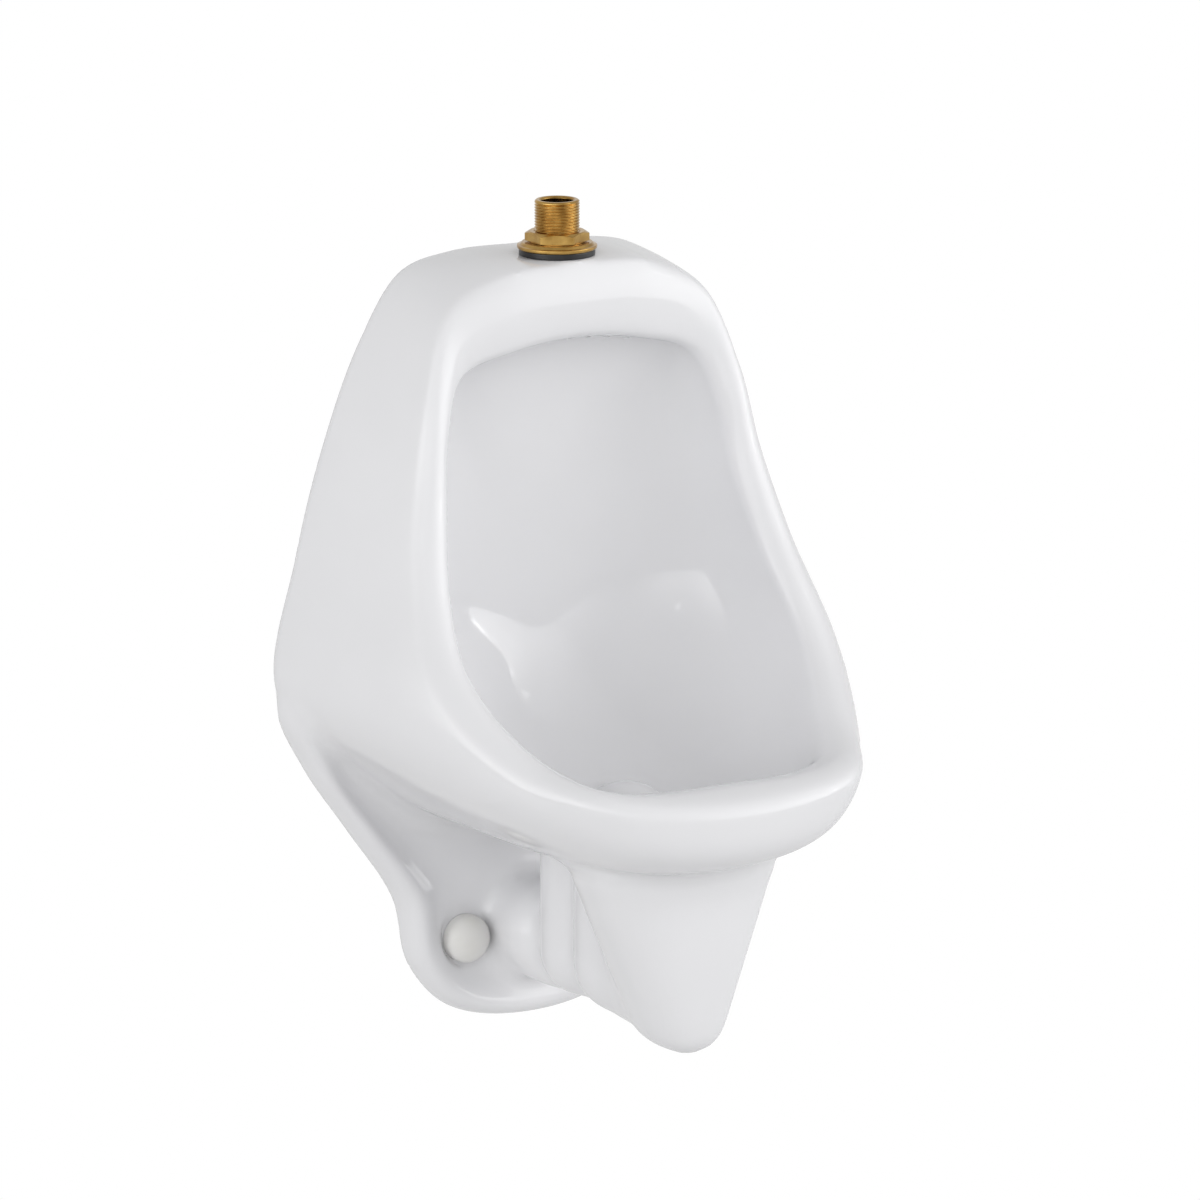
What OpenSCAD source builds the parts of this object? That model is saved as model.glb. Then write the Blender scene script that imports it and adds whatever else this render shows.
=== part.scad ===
// Wall-hung urinal in white vitreous china, with its brass inlet spud, waste flange, hangers and caps.
// Frame: the origin is the centre of the waste outlet on the wall plane, X runs to the right,
// the front faces -Y and Z is up. A depth is the distance out from the wall, so y = -depth.

/* [Body] */
// Widest width of the china, across the belly
body_w = 464; // [440:1:490]
// Height of the crown above the centre of the waste outlet
crown_z = 560; // [545:1:580]
// Width between the two shoulders
crown_w = 224; // [200:1:240]
// Drop of the shoulders below the crown
shoulder_drop = 13; // [10:1:16]
// Height of the belly, where the body is widest
belly_z = 215; // [205:1:225]
// Depth at which the wall flange is full, before its edge rounds to the wall
flange_d = 8; // [6:1:12]
// Radius that the long edges are rounded by
edge_r = 9; // [6:1:11]
// Height of the bowl's underside where it meets the wall
keel_z = 86; // [82:1:90]

/* [Rim] */
// Reach of the lip from the wall
reach = 356; // [345:1:370]
// Height of the lip's outer edge
lip_z = 160; // [156:1:166]
// Width across the rim's outer edges at the belly
rim_w = 378; // [366:1:388]
// Depth of the flat forehead from the wall
forehead_d = 99; // [94:1:106]
// Drop of the forehead's top edge below the crown
forehead_drop = 11; // [8:1:14]
// Rise of the rim between its two edges
rim_rise = 4; // [2:0.5:6]

/* [Bowl] */
// Width of the bowl's mouth at the belly
mouth_w = 316; // [306:1:326]
// Height of the arch over the mouth
arch_z = 496.5; // [490:0.5:502]
// Height of the lip's inner edge
sill_z = 171; // [168:1:174]
// Depth of the lip's inner edge
sill_d = 316; // [308:1:322]
// Depth of the bowl's back from the wall
bowl_back_d = 40; // [36:1:46]
// Height of the deepest place of the bowl's back
bowl_back_z = 262; // [250:1:275]
// Depth that the bowl's floor sinks below the line from sill to back
floor_sink = 84; // [78:1:88]
// Forward reach of the floor beyond that line
floor_push = 168; // [160:1:174]
// Thickness of the cast china walls
china_t = 11; // [9:0.5:12]

/* [Wall plate and trap] */
// Drop of the plate's lower edge below the waste outlet
plate_drop = 84; // [78:1:90]
// Width of the plate at the waste outlet
plate_w = 228; // [215:1:240]
// Thickness of the plate's rounded ridge
ridge_t = 31; // [27:1:34]
// Thickness of the plate's sunk face
plate_t = 20; // [18:1:22]
// Width of the ridge
ridge_w = 30; // [26:1:34]
// Width of the spout at its top
spout_w = 168; // [160:1:176]
// Height of the spout's rounded bottom end
spout_z = -62; // [-66:1:-58]
// Depth of the spout's front face
spout_d = 287; // [280:1:292]
// Width of the trap behind the spout
trap_w = 86; // [82:1:90]
// Half the height of the china ear round the waste outlet
ear_r = 45; // [42:1:48]
// Width of the ear round the waste outlet
ear_w = 78; // [74:1:82]
// Bore of the trapway
trap_bore = 40; // [36:1:44]

/* [Inlet] */
// Depth of the inlet from the wall
inlet_d = 65; // [60:1:68]
// Outside diameter of the spud's thread
spud_od = 36.5; // [33:0.5:38]
// Bore of the spud
spud_bore = 27; // [22:0.5:29]
// Height of the spud's end above its seat on the crown
spud_rise = 45; // [40:1:52]
// Width across the flats of the locknut
locknut_af = 46; // [44:1:50]
// Thickness of the locknut
locknut_t = 9; // [7:0.5:11]
// Diameter of the brass friction ring
ring_od = 65; // [60:1:68]
// Thickness of the brass friction ring
ring_t = 5.5; // [4:0.5:7]
// Diameter of the rubber washer
washer_od = 62; // [57:1:65]
// Thickness of the rubber washer
washer_t = 5; // [3:0.5:7]
// Drilled hole in the china for the spud
spud_hole = 40; // [39:0.5:42]
// Height of the flushing chamber over the bowl
chamber_h = 36; // [30:1:38]

/* [Waste and bolts] */
// Bore of the waste flange, cut with a 2 inch pipe thread
waste_bore = 57.4; // [56:0.1:59]
// Thickness of the waste flange
waste_t = 6; // [5:0.5:7]
// Diameter of the waste flange
waste_od = 84; // [80:1:88]
// Thickness of the waste gasket
gasket_t = 6; // [5:0.5:7]
// Distance between the two flange bolts
bolt_pitch = 126; // [122:1:130]
// Height of the flange bolts against the waste outlet
bolt_z = -11; // [-14:1:-6]
// Diameter of the flange bolts
bolt_d = 8; // [6:0.5:9]
// Diameter of the domed bolt caps
cap_od = 40; // [36:1:42]
// Height of the domed bolt caps
cap_h = 19; // [17:0.5:22]
// Wall of the domed bolt caps
cap_t = 2.2; // [1.8:0.1:3]

/* [Hangers and strainer] */
// Distance between the two wall hangers
hanger_pitch = 210; // [200:1:220]
// Width of each wall hanger
hanger_w = 44; // [36:1:50]
// Thickness of the hanger's steel
hanger_t = 4; // [3:0.5:5]
// Height of the china ledge that rests in the hangers
ledge_z = 425; // [420:1:432]
// Diameter of the screw holes in the hangers
screw_hole = 7; // [6:0.5:8]
// Diameter of the lift-out strainer
strainer_od = 56; // [50:1:58]
// Thickness of the strainer's plate
strainer_t = 2; // [1.5:0.1:3]

/* [Hidden] */

china = "#f0f0ef";
brass = "#c9973f";
black_rubber = "#1d1d1d";
grey_iron = "#6f7275";
steel = "#b9bdc1";
cap_white = "#e9e8e2";

clear = 0.3;
round_fn = 96;

// Points round a full ring of the body, and the last station of its half contour
ring_n = 72;
low_station = 9;

function mix(a, b, f) = a + (b - a) * f;
function ease(f) = let (c = max(0, min(1, f))) c * c * (3 - 2 * c);
function unit(v) = v / max(norm(v), 1e-6);
function across(p) = [-p[0], p[1], p[2]];
function stand(p) = [p[0], -p[1], p[2]];

// Station of a half contour, carried round the mirrored other half
function station(list, i) =
    let (n = len(list) - 1, k = ((i % (2 * n)) + 2 * n) % (2 * n))
    k <= n ? list[k] : across(list[2 * n - k]);

// Smooth closed curve through the stations of a half contour and their mirror images
function curve(list, t) =
    let (k = floor(t), f = t - k,
         a = station(list, k - 1), b = station(list, k),
         c = station(list, k + 1), d = station(list, k + 2),
         u = sqrt(norm(b - a)) + 1e-6, v = sqrt(norm(c - b)) + 1e-6, w = sqrt(norm(d - c)) + 1e-6,
         m = v * ((b - a) / u - (c - a) / (u + v) + (c - b) / v),
         n = v * ((c - b) / v - (d - b) / (v + w) + (d - c) / w),
         h = f * f * (3 - 2 * f))
    b + (c - b) * h + m * (f * (1 - f) * (1 - f)) - n * (f * f * (1 - f));

// Value that changes evenly from station to station
function along(list, t) =
    let (s = t > low_station ? 2 * low_station - t : t, k = min(floor(s), low_station - 1))
    mix(list[k], list[k + 1], s - k);

// Stations between a shoulder and the belly, each as shares across, out and down
function flank(a, b, shares) =
    [for (s = shares) [mix(a[0], b[0], s[0]), mix(a[1], b[1], s[1]), mix(a[2], b[2], s[2])]];

// Outline of the body on the wall, as [across, depth, height] from the crown to the keel
wall_shoulder = [crown_w / 2, flange_d, crown_z - shoulder_drop];
wall_belly = [body_w / 2, flange_d, belly_z];
wall_line = concat(
    [[0, flange_d, crown_z], [crown_w * 0.28, flange_d, crown_z - 0.5], wall_shoulder],
    flank(wall_shoulder, wall_belly, [[0.33, 0, 0.165], [0.62, 0, 0.41], [0.84, 0, 0.68]]),
    [wall_belly, [body_w / 2 - 60, flange_d, keel_z + 62], [body_w / 2 - 142, flange_d, keel_z + 10],
     [0, flange_d, keel_z]]);

// Outer edge of the rim
rim_shoulder = [crown_w / 2 + 10, forehead_d - 1, crown_z - 34];
rim_belly = [rim_w / 2, forehead_d + 91, belly_z + 32];
rim_line = concat(
    [[0, forehead_d + 5, crown_z - forehead_drop], [crown_w * 0.28, forehead_d + 4, crown_z - forehead_drop - 3],
     rim_shoulder],
    flank(rim_shoulder, rim_belly, [[0.42, 0.14, 0.24], [0.63, 0.25, 0.49], [0.86, 0.49, 0.74]]),
    [rim_belly, [rim_w / 2 - 31, reach - 84, lip_z + 27], [rim_w / 2 - 72, reach - 21, lip_z + 9],
     [0, reach, lip_z]]);

// Inner edge of the rim, which is the mouth of the bowl
mouth_shoulder = [crown_w / 2 - 2, forehead_d + 1, arch_z - 23.5];
mouth_belly = [mouth_w / 2, forehead_d + 91, belly_z + 36];
mouth_line = concat(
    [[0, forehead_d + 4, arch_z], [crown_w * 0.27, forehead_d + 3, arch_z - 6.5], mouth_shoulder],
    flank(mouth_shoulder, mouth_belly, [[0.4, 0.12, 0.2], [0.56, 0.24, 0.44], [0.85, 0.55, 0.75]]),
    [mouth_belly, [mouth_w / 2 - 20, sill_d - 68, sill_z + 29], [mouth_w / 2 - 54, sill_d - 10, sill_z + 5],
     [0, sill_d, sill_z]]);

// Fullness of the outside at each station: 2 is a straight flank, 1 an ellipse, less is squarer
outside_power = [0.4, 0.6, 1.6, 1.8, 1.8, 1.75, 1.35, 0.72, 0.5, 0.46];
bowl_power = 0.72;
floor_from = 5.2;
floor_to = 9.2;

// Outside skin: 0 degrees is on the rim's outer edge and 90 on the wall line
function outside(t, s) =
    let (w = curve(wall_line, t), e = curve(rim_line, t), p = along(outside_power, t),
         k = [e[0], w[1], e[2]])
    k + (e - k) * pow(cos(s), p) + (w - k) * pow(sin(s), p);

// Bowl: 0 degrees is on the mouth and 90 at the middle of the bowl's back
function bowl(t, s) =
    let (m = curve(mouth_line, t), a = t > low_station ? 2 * low_station - t : t,
         c = pow(cos(s), bowl_power), q = pow(sin(s), bowl_power),
         sink = ease((a - floor_from) / (floor_to - floor_from)) * sin(2 * s))
    [m[0] * c, mix(m[1], bowl_back_d, q) + floor_push * sink * cos(s),
     mix(bowl_back_z, m[2], c) - floor_sink * sink];

// Point on a quarter round that joins two skins across a sharp corner
function fillet(a, corner, b, f) = a * (1 - f) * (1 - f) + corner * 2 * f * (1 - f) + b * f * f;
function toward(from, to, far) = from + unit(to - from) * far;

// Direction in which the rim rises, forward at the forehead and up at the lip
function rim_out(t) = let (a = along([0, 0, 0, 5, 10, 20, 45, 65, 78, 84], t)) [0, cos(a), sin(a)];

// One column of the body's skin at a station: from the bowl's back over the rim to the wall
function skin(t) =
    let (e = outside(t, 0), m = bowl(t, 0), high = rim_out(t) * rim_rise,
         e_in = toward(e, m, edge_r), m_in = toward(m, e, edge_r),
         flank_low = outside(t, 8), bowl_low = bowl(t, 3), w = outside(t, 90),
         e_out = toward(e, flank_low, min(edge_r, norm(flank_low - e))), m_out = toward(m, bowl_low, edge_r),
         foot = [w[0], 0, w[2]], inset = toward(foot, [0, 0, belly_z + 60], 4))
    concat(
        [for (s = [84, 72, 60, 48, 37, 27, 18, 11, 6]) bowl(t, s)],
        [m_out, fillet(m_out, m, m_in + high * 0.5, 0.5), m_in + high * 0.5],
        [mix(m_in, e_in, 0.5) + high],
        [e_in + high * 0.5, fillet(e_in + high * 0.5, e, e_out, 0.5), e_out],
        [for (s = [18, 27, 36, 46, 57, 68, 80]) outside(t, s)],
        [w, inset]);

// Closed solid from rings of points, ended by a fan of triangles round a middle point at each end
module lofted(rings, start, end) {
    n = len(rings[0]);
    r = len(rings);
    points = concat([for (ring = rings) for (p = ring) stand(p)], [stand(start), stand(end)]);
    sides = [for (i = [0:r - 2]) for (j = [0:n - 1]) for (h = [0, 1])
        let (a = i * n + j, b = i * n + (j + 1) % n, c = a + n, d = b + n)
        h == 0 ? [a, b, d] : [a, d, c]];
    first = [for (j = [0:n - 1]) [(j + 1) % n, j, r * n]];
    last = [for (j = [0:n - 1]) [(r - 1) * n + j, (r - 1) * n + (j + 1) % n, r * n + 1]];
    polyhedron(points, concat(sides, first, last));
}

// Rings of a skin given by columns
function rings_of(columns) =
    [for (i = [0:len(columns[0]) - 1]) [for (c = columns) c[i]]];

function turned(list) = [for (i = [len(list) - 1:-1:0]) list[i]];

// The body: bowl, rim, flanks and underside in one closed skin, flat against the wall
module body_skin() {
    columns = [for (j = [0:ring_n - 1]) skin(j * 2 * low_station / ring_n)];
    lofted(turned(rings_of(columns)), [0, 0, belly_z + 60], [0, bowl_back_d, bowl_back_z]);
}

// Lower wall plate with a rounded ridge round a sunk face
plate_line = [[0, flange_d, belly_z + 40], [120, flange_d, belly_z + 35], [body_w / 2 - 18, flange_d, belly_z + 21],
    [body_w / 2 - 1, flange_d, belly_z - 16], [body_w / 2 - 25, flange_d, 146], [plate_w / 2 + 49, flange_d, 90],
    [plate_w / 2 + 6, flange_d, 26], [plate_w / 2 - 8, flange_d, -30], [plate_w / 2 - 42, flange_d, 14 - plate_drop],
    [0, flange_d, -plate_drop]];
plate_n = 54;
plate_mid_z = 60;
function plate_point(t, inset, depth) =
    let (p = curve(plate_line, t), mid = [0, p[1], plate_mid_z], q = toward(p, mid, inset))
    [q[0], depth, q[2]];
function plate_ring(inset, depth) =
    [for (j = [0:plate_n - 1]) plate_point(j * 2 * low_station / plate_n, inset, depth)];
module plate_skin() {
    lofted([plate_ring(3, 0), plate_ring(0, flange_d), plate_ring(1, ridge_t - 13),
            plate_ring(5, ridge_t - 4), plate_ring(12, ridge_t), plate_ring(ridge_w - 10, ridge_t - 2),
            plate_ring(ridge_w, plate_t + 3), plate_ring(ridge_w + 12, plate_t)],
           [0, 0, plate_mid_z], [0, plate_t, plate_mid_z]);
}

// Rounded cross-section: power 1 is an ellipse, less is squarer
function squared(a, half, power) = half * sign(a) * pow(abs(a), power);

// Spout: level sections from under the bowl to the rounded end, [height, half width, back, front]
spout_n = 40;
spout_levels = [
    [spout_z + 1, 9, spout_d - 42, spout_d - 17], [spout_z + 7, 22, spout_d - 58, spout_d - 9],
    [spout_z + 20, 33, spout_d - 72, spout_d - 4], [spout_z + 52, spout_w / 2 - 38, spout_d - 80, spout_d - 1],
    [spout_z + 90, spout_w / 2 - 22, spout_d - 86, spout_d], [spout_z + 126, spout_w / 2 - 7, spout_d - 90, spout_d],
    [keel_z + 8, spout_w / 2 + 2, spout_d - 96, spout_d + 2], [keel_z + 18, spout_w / 2 - 16, spout_d - 92, spout_d - 22]];
module spout_skin() {
    rings = [for (s = spout_levels) [for (j = [0:spout_n - 1]) let (a = 360 * j / spout_n)
        [squared(sin(a), s[1], 0.7), mix(s[2], s[3], 0.5) + squared(cos(a), (s[3] - s[2]) / 2, 0.62), s[0]]]];
    lofted(turned(rings), [0, spout_d - 50, keel_z + 18], [0, spout_d - 39, spout_z]);
}

// Trap and ear: upright sections from the wall to the spout, [depth, half width, bottom, top]
trap_n = 36;
trap_sections = [
    [1, ear_w / 2, -ear_r - 4, ear_r - 4], [62, ear_w / 2, -ear_r - 4, ear_r - 4],
    [78, ear_w / 2 - 2, -ear_r - 4, ear_r + 2], [92, ear_w / 2 - 7, -ear_r - 3, ear_r + 20],
    [106, trap_w / 2 - 6, -ear_r - 2, keel_z], [124, trap_w / 2 - 1, -ear_r - 2, keel_z + 10],
    [170, trap_w / 2, -ear_r - 4, keel_z + 11], [215, trap_w / 2 - 2, spout_z + 9, keel_z + 11],
    [240, trap_w / 2 - 10, spout_z + 8, keel_z + 9]];
module trap_skin() {
    rings = [for (s = trap_sections) [for (j = [0:trap_n - 1]) let (a = 360 * j / trap_n)
        [squared(sin(a), s[1], 0.8), s[0], mix(s[2], s[3], 0.5) - squared(cos(a), (s[3] - s[2]) / 2, 0.8)]]];
    lofted(turned(rings), [0, trap_sections[8][0], 10], [0, trap_sections[0][0], 0]);
}

// Direction out of a skin, worked out from the skin a little to each side
function out_of_flank(t, s) =
    unit(cross(outside(t, s + 1.5) - outside(t, s - 1.5), outside(t + 0.06, s) - outside(t - 0.06, s)));
function out_of_bowl(t, s) =
    unit(cross(bowl(t, s + 1.5) - bowl(t, s - 1.5), bowl(t + 0.06, s) - bowl(t - 0.06, s)));

// Open hollow behind the bowl: it follows the flanks in from the wall, turns, and comes back round the bowl
hollow_n = 40;
hollow_top = arch_z - 14;
hollow_tip = [30, 32, 38, 68, 86, 110, 142, 122, 95, 90];
hollow_turn = [40, 40, 37, 30, 26, 25, 26, 50, 63, 66];
function hollow_roof(t) = let (x = curve(wall_line, t)[0] * 0.93) [x, 0, hollow_top - 8 * pow(x / 118, 2)];
function hollow_side(t, depth) =
    let (w = curve(wall_line, t), e = curve(rim_line, t), p = along(outside_power, t),
         share = max(depth - w[1], 0.5) / (e[1] - w[1]), s = min(acos(pow(share, 1 / p)), 88),
         q = outside(t, s) - out_of_flank(t, s) * china_t)
    [q[0], depth, q[2]];
function hollow_flank(t, depth) =
    let (a = t > low_station ? 2 * low_station - t : t, roof = hollow_roof(t), f = ease((a - 1.6) / 1.4))
    f == 0 ? [roof[0], depth, roof[2]]
    : mix([roof[0], depth, roof[2]], hollow_side(t, depth), f);
function hollow_bowl(t, s) = bowl(t, s) + out_of_bowl(t, s) * china_t;
function hollow_column(t) =
    let (tip = along(hollow_tip, t), turn = along(hollow_turn, t))
    concat([for (f = [-0.1, 0.12, 0.45, 0.75, 1]) hollow_flank(t, tip * f)],
           [for (f = [0, 0.3, 0.6, 0.85]) hollow_bowl(t, mix(turn, 88, f))]);
module hollow_skin() {
    columns = [for (j = [0:hollow_n - 1]) hollow_column(j * 2 * low_station / hollow_n)];
    lofted(rings_of(columns), [0, -3, bowl_back_z], [0, bowl_back_d - china_t, bowl_back_z]);
}

// Upright and level places that the pieces share
seat_z = crown_z - 0.5;
roof_t = 13.5;
chamber_top = seat_z - roof_t;
chamber_r = 27.5;
chamber_half = 54;
chamber_d = inlet_d - 2;
spray_hole = 5;
spray_pitch = 18;
spray_d = chamber_d + 21;
spray_drop = 36;
drain_d = bowl(low_station, 40)[1];
drain_floor = bowl(low_station, 40)[2] - 4.5;
drain_recess = strainer_od / 2 + clear;
grommet_t = 3;
trap_low = spout_z + 42;
weir_z = keel_z - 45;
riser_d = drain_d - 74;
fall_d = riser_d - 54;
outlet_face = waste_t + gasket_t;
plate_hollow = plate_t - china_t;
sides = [-1, 1];

// Round bar that stands out from the wall
module bar_out(r, from, to, x = 0, z = 0) {
    translate([x, -from, z]) rotate([90, 0, 0]) cylinder(r = r, h = to - from, $fn = round_fn);
}

// Round bar that stands upright
module bar_up(r, from, to, depth, x = 0) {
    translate([x, -depth, from]) cylinder(r = r, h = to - from, $fn = round_fn);
}

module ball(r, depth, z) {
    translate([0, -depth, z]) sphere(r = r, $fn = round_fn);
}

// Passage from the drain down the spout, up over the weir and back to the wall
module trapway() {
    r = trap_bore / 2;
    bar_up(r, trap_low, drain_floor + 1, drain_d);
    ball(r, drain_d, trap_low);
    bar_out(r, riser_d, drain_d, 0, trap_low);
    ball(r, riser_d, trap_low);
    bar_up(r, trap_low, weir_z, riser_d);
    ball(r, riser_d, weir_z);
    bar_out(r, fall_d, riser_d, 0, weir_z);
    ball(r, fall_d, weir_z);
    bar_up(r, 0, weir_z, fall_d);
    ball(r, fall_d, 0);
    bar_out(r, outlet_face - 1, fall_d);
}

// Flushing chamber over the bowl and the spray holes that lead down from it
module flushing_chamber() {
    for (s = sides) bar_up(chamber_r, chamber_top - chamber_h, chamber_top, chamber_d, s * chamber_half);
    translate([-chamber_half, -chamber_d - chamber_r, chamber_top - chamber_h])
        cube([2 * chamber_half, 2 * chamber_r, chamber_h]);
    for (i = [-3:3])
        bar_up(spray_hole / 2, chamber_top - chamber_h - spray_drop, chamber_top - chamber_h + 1,
               spray_d, i * spray_pitch);
}

// Hollow back of the lower plate, with solid land round each bolt
module plate_hollow_cut() {
    rim = [for (p = plate_ring(ridge_w / 2, 0)) [p[0], min(p[2], keel_z - 6)]];
    difference() {
        translate([0, 1, 0]) rotate([90, 0, 0]) linear_extrude(plate_hollow + 1) polygon(rim);
        translate([-spout_w / 4, -plate_hollow - 2, keel_z - 26]) cube([spout_w / 2, plate_hollow + 4, 26]);
    }
}

// Ledge that hangs in one wall hanger, with a lip turned down behind the hanger's hook
ledge_w = hanger_w + 12;
lip_t = 8;
ledge_gap = 10;
ledge_t = 12;
module ledge(side) {
    translate([side * hanger_pitch / 2 - ledge_w / 2, -bowl_back_d - 14, ledge_z + ledge_gap])
        cube([ledge_w, bowl_back_d + 14 - hanger_t - 1, ledge_t]);
    translate([side * hanger_pitch / 2 - ledge_w / 2, -hanger_t - 1 - lip_t, ledge_z])
        cube([ledge_w, lip_t, ledge_gap + 1]);
}

// The cast china before it is drilled, brought to its full width
module casting() {
    resize([body_w, 0, 0]) difference() {
        union() {
            body_skin();
            plate_skin();
            spout_skin();
            trap_skin();
        }
        hollow_skin();
        plate_hollow_cut();
    }
}

// Recess in the back of the crown, behind the flushing chamber
module crown_recess() {
    half = chamber_half + chamber_r - china_t;
    low = hollow_top + china_t;
    translate([-half, -(chamber_d - chamber_r - china_t), low])
        cube([2 * half, chamber_d - chamber_r - china_t + 1, chamber_top - low]);
}

module china_body() {
    color(china) difference() {
        union() {
            casting();
            for (s = sides) ledge(s);
            bar_up(washer_od / 2 + 1, chamber_top + 1, seat_z, inlet_d);
        }
        bar_up(washer_od / 2 + 3, seat_z, seat_z + 5, inlet_d);
        bar_up(spud_hole / 2, chamber_top - 1, seat_z + 1, inlet_d);
        flushing_chamber();
        crown_recess();
        bar_up(drain_recess, drain_floor, drain_floor + 34, drain_d);
        trapway();
        bar_out(waste_od / 2 + 2, -1, outlet_face);
        for (s = sides) bar_out(bolt_d / 2 + 1, -1, ridge_t, s * bolt_pitch / 2, bolt_z);
        for (s = sides) bar_out(cap_od / 2 + 2, plate_t, ridge_t + 10, s * bolt_pitch / 2, bolt_z);
    }
}

module ring_up(outer, inner, from, to, depth) {
    difference() {
        bar_up(outer, from, to, depth);
        bar_up(inner, from - 1, to + 1, depth);
    }
}

// Places up the inlet, from the china's seat
washer_top = seat_z + washer_t;
ring_top = washer_top + ring_t;
nut_top = ring_top + locknut_t;
gasket_h = 12;
head_t = 6;
head_r = spud_od / 2 + 5.5;
touch = 0.05;
thread_step = 0.2;
shank_r = spud_od / 2 + thread_step;

// Brass spud: a threaded barrel, a little fuller under the locknut, whose head pulls up the tapered gasket
module inlet_spud() {
    r = spud_od / 2;
    low = chamber_top - gasket_h - head_t;
    top = seat_z + spud_rise;
    color(brass) translate([0, -inlet_d, 0]) rotate_extrude($fn = round_fn)
        polygon([[spud_bore / 2, low], [head_r - 1, low], [head_r, low + 1], [head_r, low + head_t],
                 [shank_r, low + head_t], [shank_r, nut_top], [r, nut_top], [r, top - 1.5], [r - 1.5, top],
                 [spud_bore / 2 + 1, top],
                 [spud_bore / 2, top - 1]]);
}

// Brass hexagon nut with a round face under it
module spud_locknut() {
    face = 1;
    locknut_turn = 28;
    color(brass) difference() {
        union() {
            translate([0, -inlet_d, ring_top + face]) rotate([0, 0, locknut_turn])
                cylinder(d = locknut_af / cos(30), h = locknut_t - face, $fn = 6);
            bar_up(locknut_af / 2, ring_top, ring_top + face, inlet_d);
        }
        bar_up(shank_r + touch, ring_top - 1, nut_top + 1, inlet_d);
    }
}

// Stepped brass friction ring under the locknut
module spud_friction_ring() {
    step = ring_t * 0.55;
    color(brass) translate([0, -inlet_d, 0]) rotate_extrude($fn = round_fn)
        polygon([[shank_r + clear, washer_top], [ring_od / 2 - 1, washer_top], [ring_od / 2, washer_top + 1],
                 [ring_od / 2, washer_top + step], [ring_od / 2 - 2, washer_top + step + 0.5],
                 [ring_od / 2 - 4, ring_top], [shank_r + clear, ring_top]]);
}

// Flat rubber washer that the brass is tightened on
module spud_washer() {
    color(black_rubber) ring_up(washer_od / 2, shank_r + clear, seat_z, washer_top, inlet_d);
}

// Tapered rubber gasket that plugs the hole from inside the chamber
module spud_gasket() {
    inner = shank_r + touch;
    color(black_rubber) translate([0, -inlet_d, 0]) rotate_extrude($fn = round_fn)
        polygon([[inner, chamber_top - gasket_h], [spud_hole / 2 + 3, chamber_top - gasket_h],
                 [spud_hole / 2 + 2, chamber_top], [spud_hole / 2 - touch, chamber_top],
                 [spud_hole / 2 - touch, chamber_top + roof_t - 3], [inner, chamber_top + roof_t - 3]]);
}

// Cast flange on the wall that the drain pipe screws into, with an ear for each bolt
head_af = 13;
bolt_head_t = 3;
hub_r = waste_bore / 2 + 4.5;
ear_pad = 12;
module waste_flange() {
    color(grey_iron) difference() {
        union() {
            bar_out(waste_od / 2, 0, waste_t);
            bar_out(hub_r, 0, outlet_face - 1);
            for (s = sides) bar_out(ear_pad, 0, waste_t, s * bolt_pitch / 2, bolt_z);
            for (s = sides) translate([s * bolt_pitch / 4 - bolt_pitch / 4, -waste_t, bolt_z - ear_pad])
                cube([bolt_pitch / 2, waste_t, 2 * ear_pad]);
        }
        bar_out(waste_bore / 2, -1, outlet_face + 1);
        for (s = sides) bar_out(bolt_d / 2 + touch, -1, waste_t + 1, s * bolt_pitch / 2, bolt_z);
        for (s = sides) bar_out(head_af / 2 / cos(30) + clear, -1, bolt_head_t, s * bolt_pitch / 2, bolt_z);
    }
}

// Rubber gasket between the flange and the china
module waste_gasket() {
    color(black_rubber) difference() {
        bar_out(waste_od / 2, waste_t, outlet_face);
        bar_out(hub_r + touch, waste_t - 1, outlet_face + 1);
    }
}

// Places out along a flange bolt, from the face of the plate
base_t = 2;
bolt_washer_t = 1.5;
nut_t = 6.5;
washer_face = plate_t + base_t;
nut_face = washer_face + bolt_washer_t;
nut_end = nut_face + nut_t;
bolt_end = nut_end + 3;

module flange_bolts() {
    color(brass) for (s = sides) {
        bar_out(bolt_d / 2, 0, bolt_end, s * bolt_pitch / 2, bolt_z);
        translate([s * bolt_pitch / 2, 0, bolt_z]) rotate([90, 0, 0])
            cylinder(d = head_af / cos(30), h = bolt_head_t, $fn = 6);
    }
}

module bolt_washers() {
    color(brass) for (s = sides) difference() {
        bar_out(bolt_d + 2, washer_face, nut_face, s * bolt_pitch / 2, bolt_z);
        bar_out(bolt_d / 2 + clear, washer_face - 1, nut_face + 1, s * bolt_pitch / 2, bolt_z);
    }
}

module bolt_nuts() {
    color(brass) for (s = sides) difference() {
        translate([s * bolt_pitch / 2, -nut_face, bolt_z]) rotate([90, 0, 0])
            cylinder(d = head_af / cos(30), h = nut_t, $fn = 6);
        bar_out(bolt_d / 2 + touch, nut_face - 1, nut_end + 1, s * bolt_pitch / 2, bolt_z);
    }
}

// Piece turned about one flange bolt
module about_bolt(side) {
    translate([side * bolt_pitch / 2, 0, bolt_z]) rotate([90, 0, 0]) rotate_extrude($fn = round_fn) children();
}

// Snap base under the washer, with a rim that the cap grips
base_r = cap_od / 2 - cap_t - clear;
base_rim = 5;
module cap_base(side) {
    color(cap_white) about_bolt(side)
        polygon([[bolt_d / 2 + clear, plate_t], [base_r, plate_t], [base_r, plate_t + base_rim],
                 [base_r - 1.6, plate_t + base_rim], [base_r - 1.6, washer_face], [bolt_d / 2 + clear, washer_face]]);
}

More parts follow.
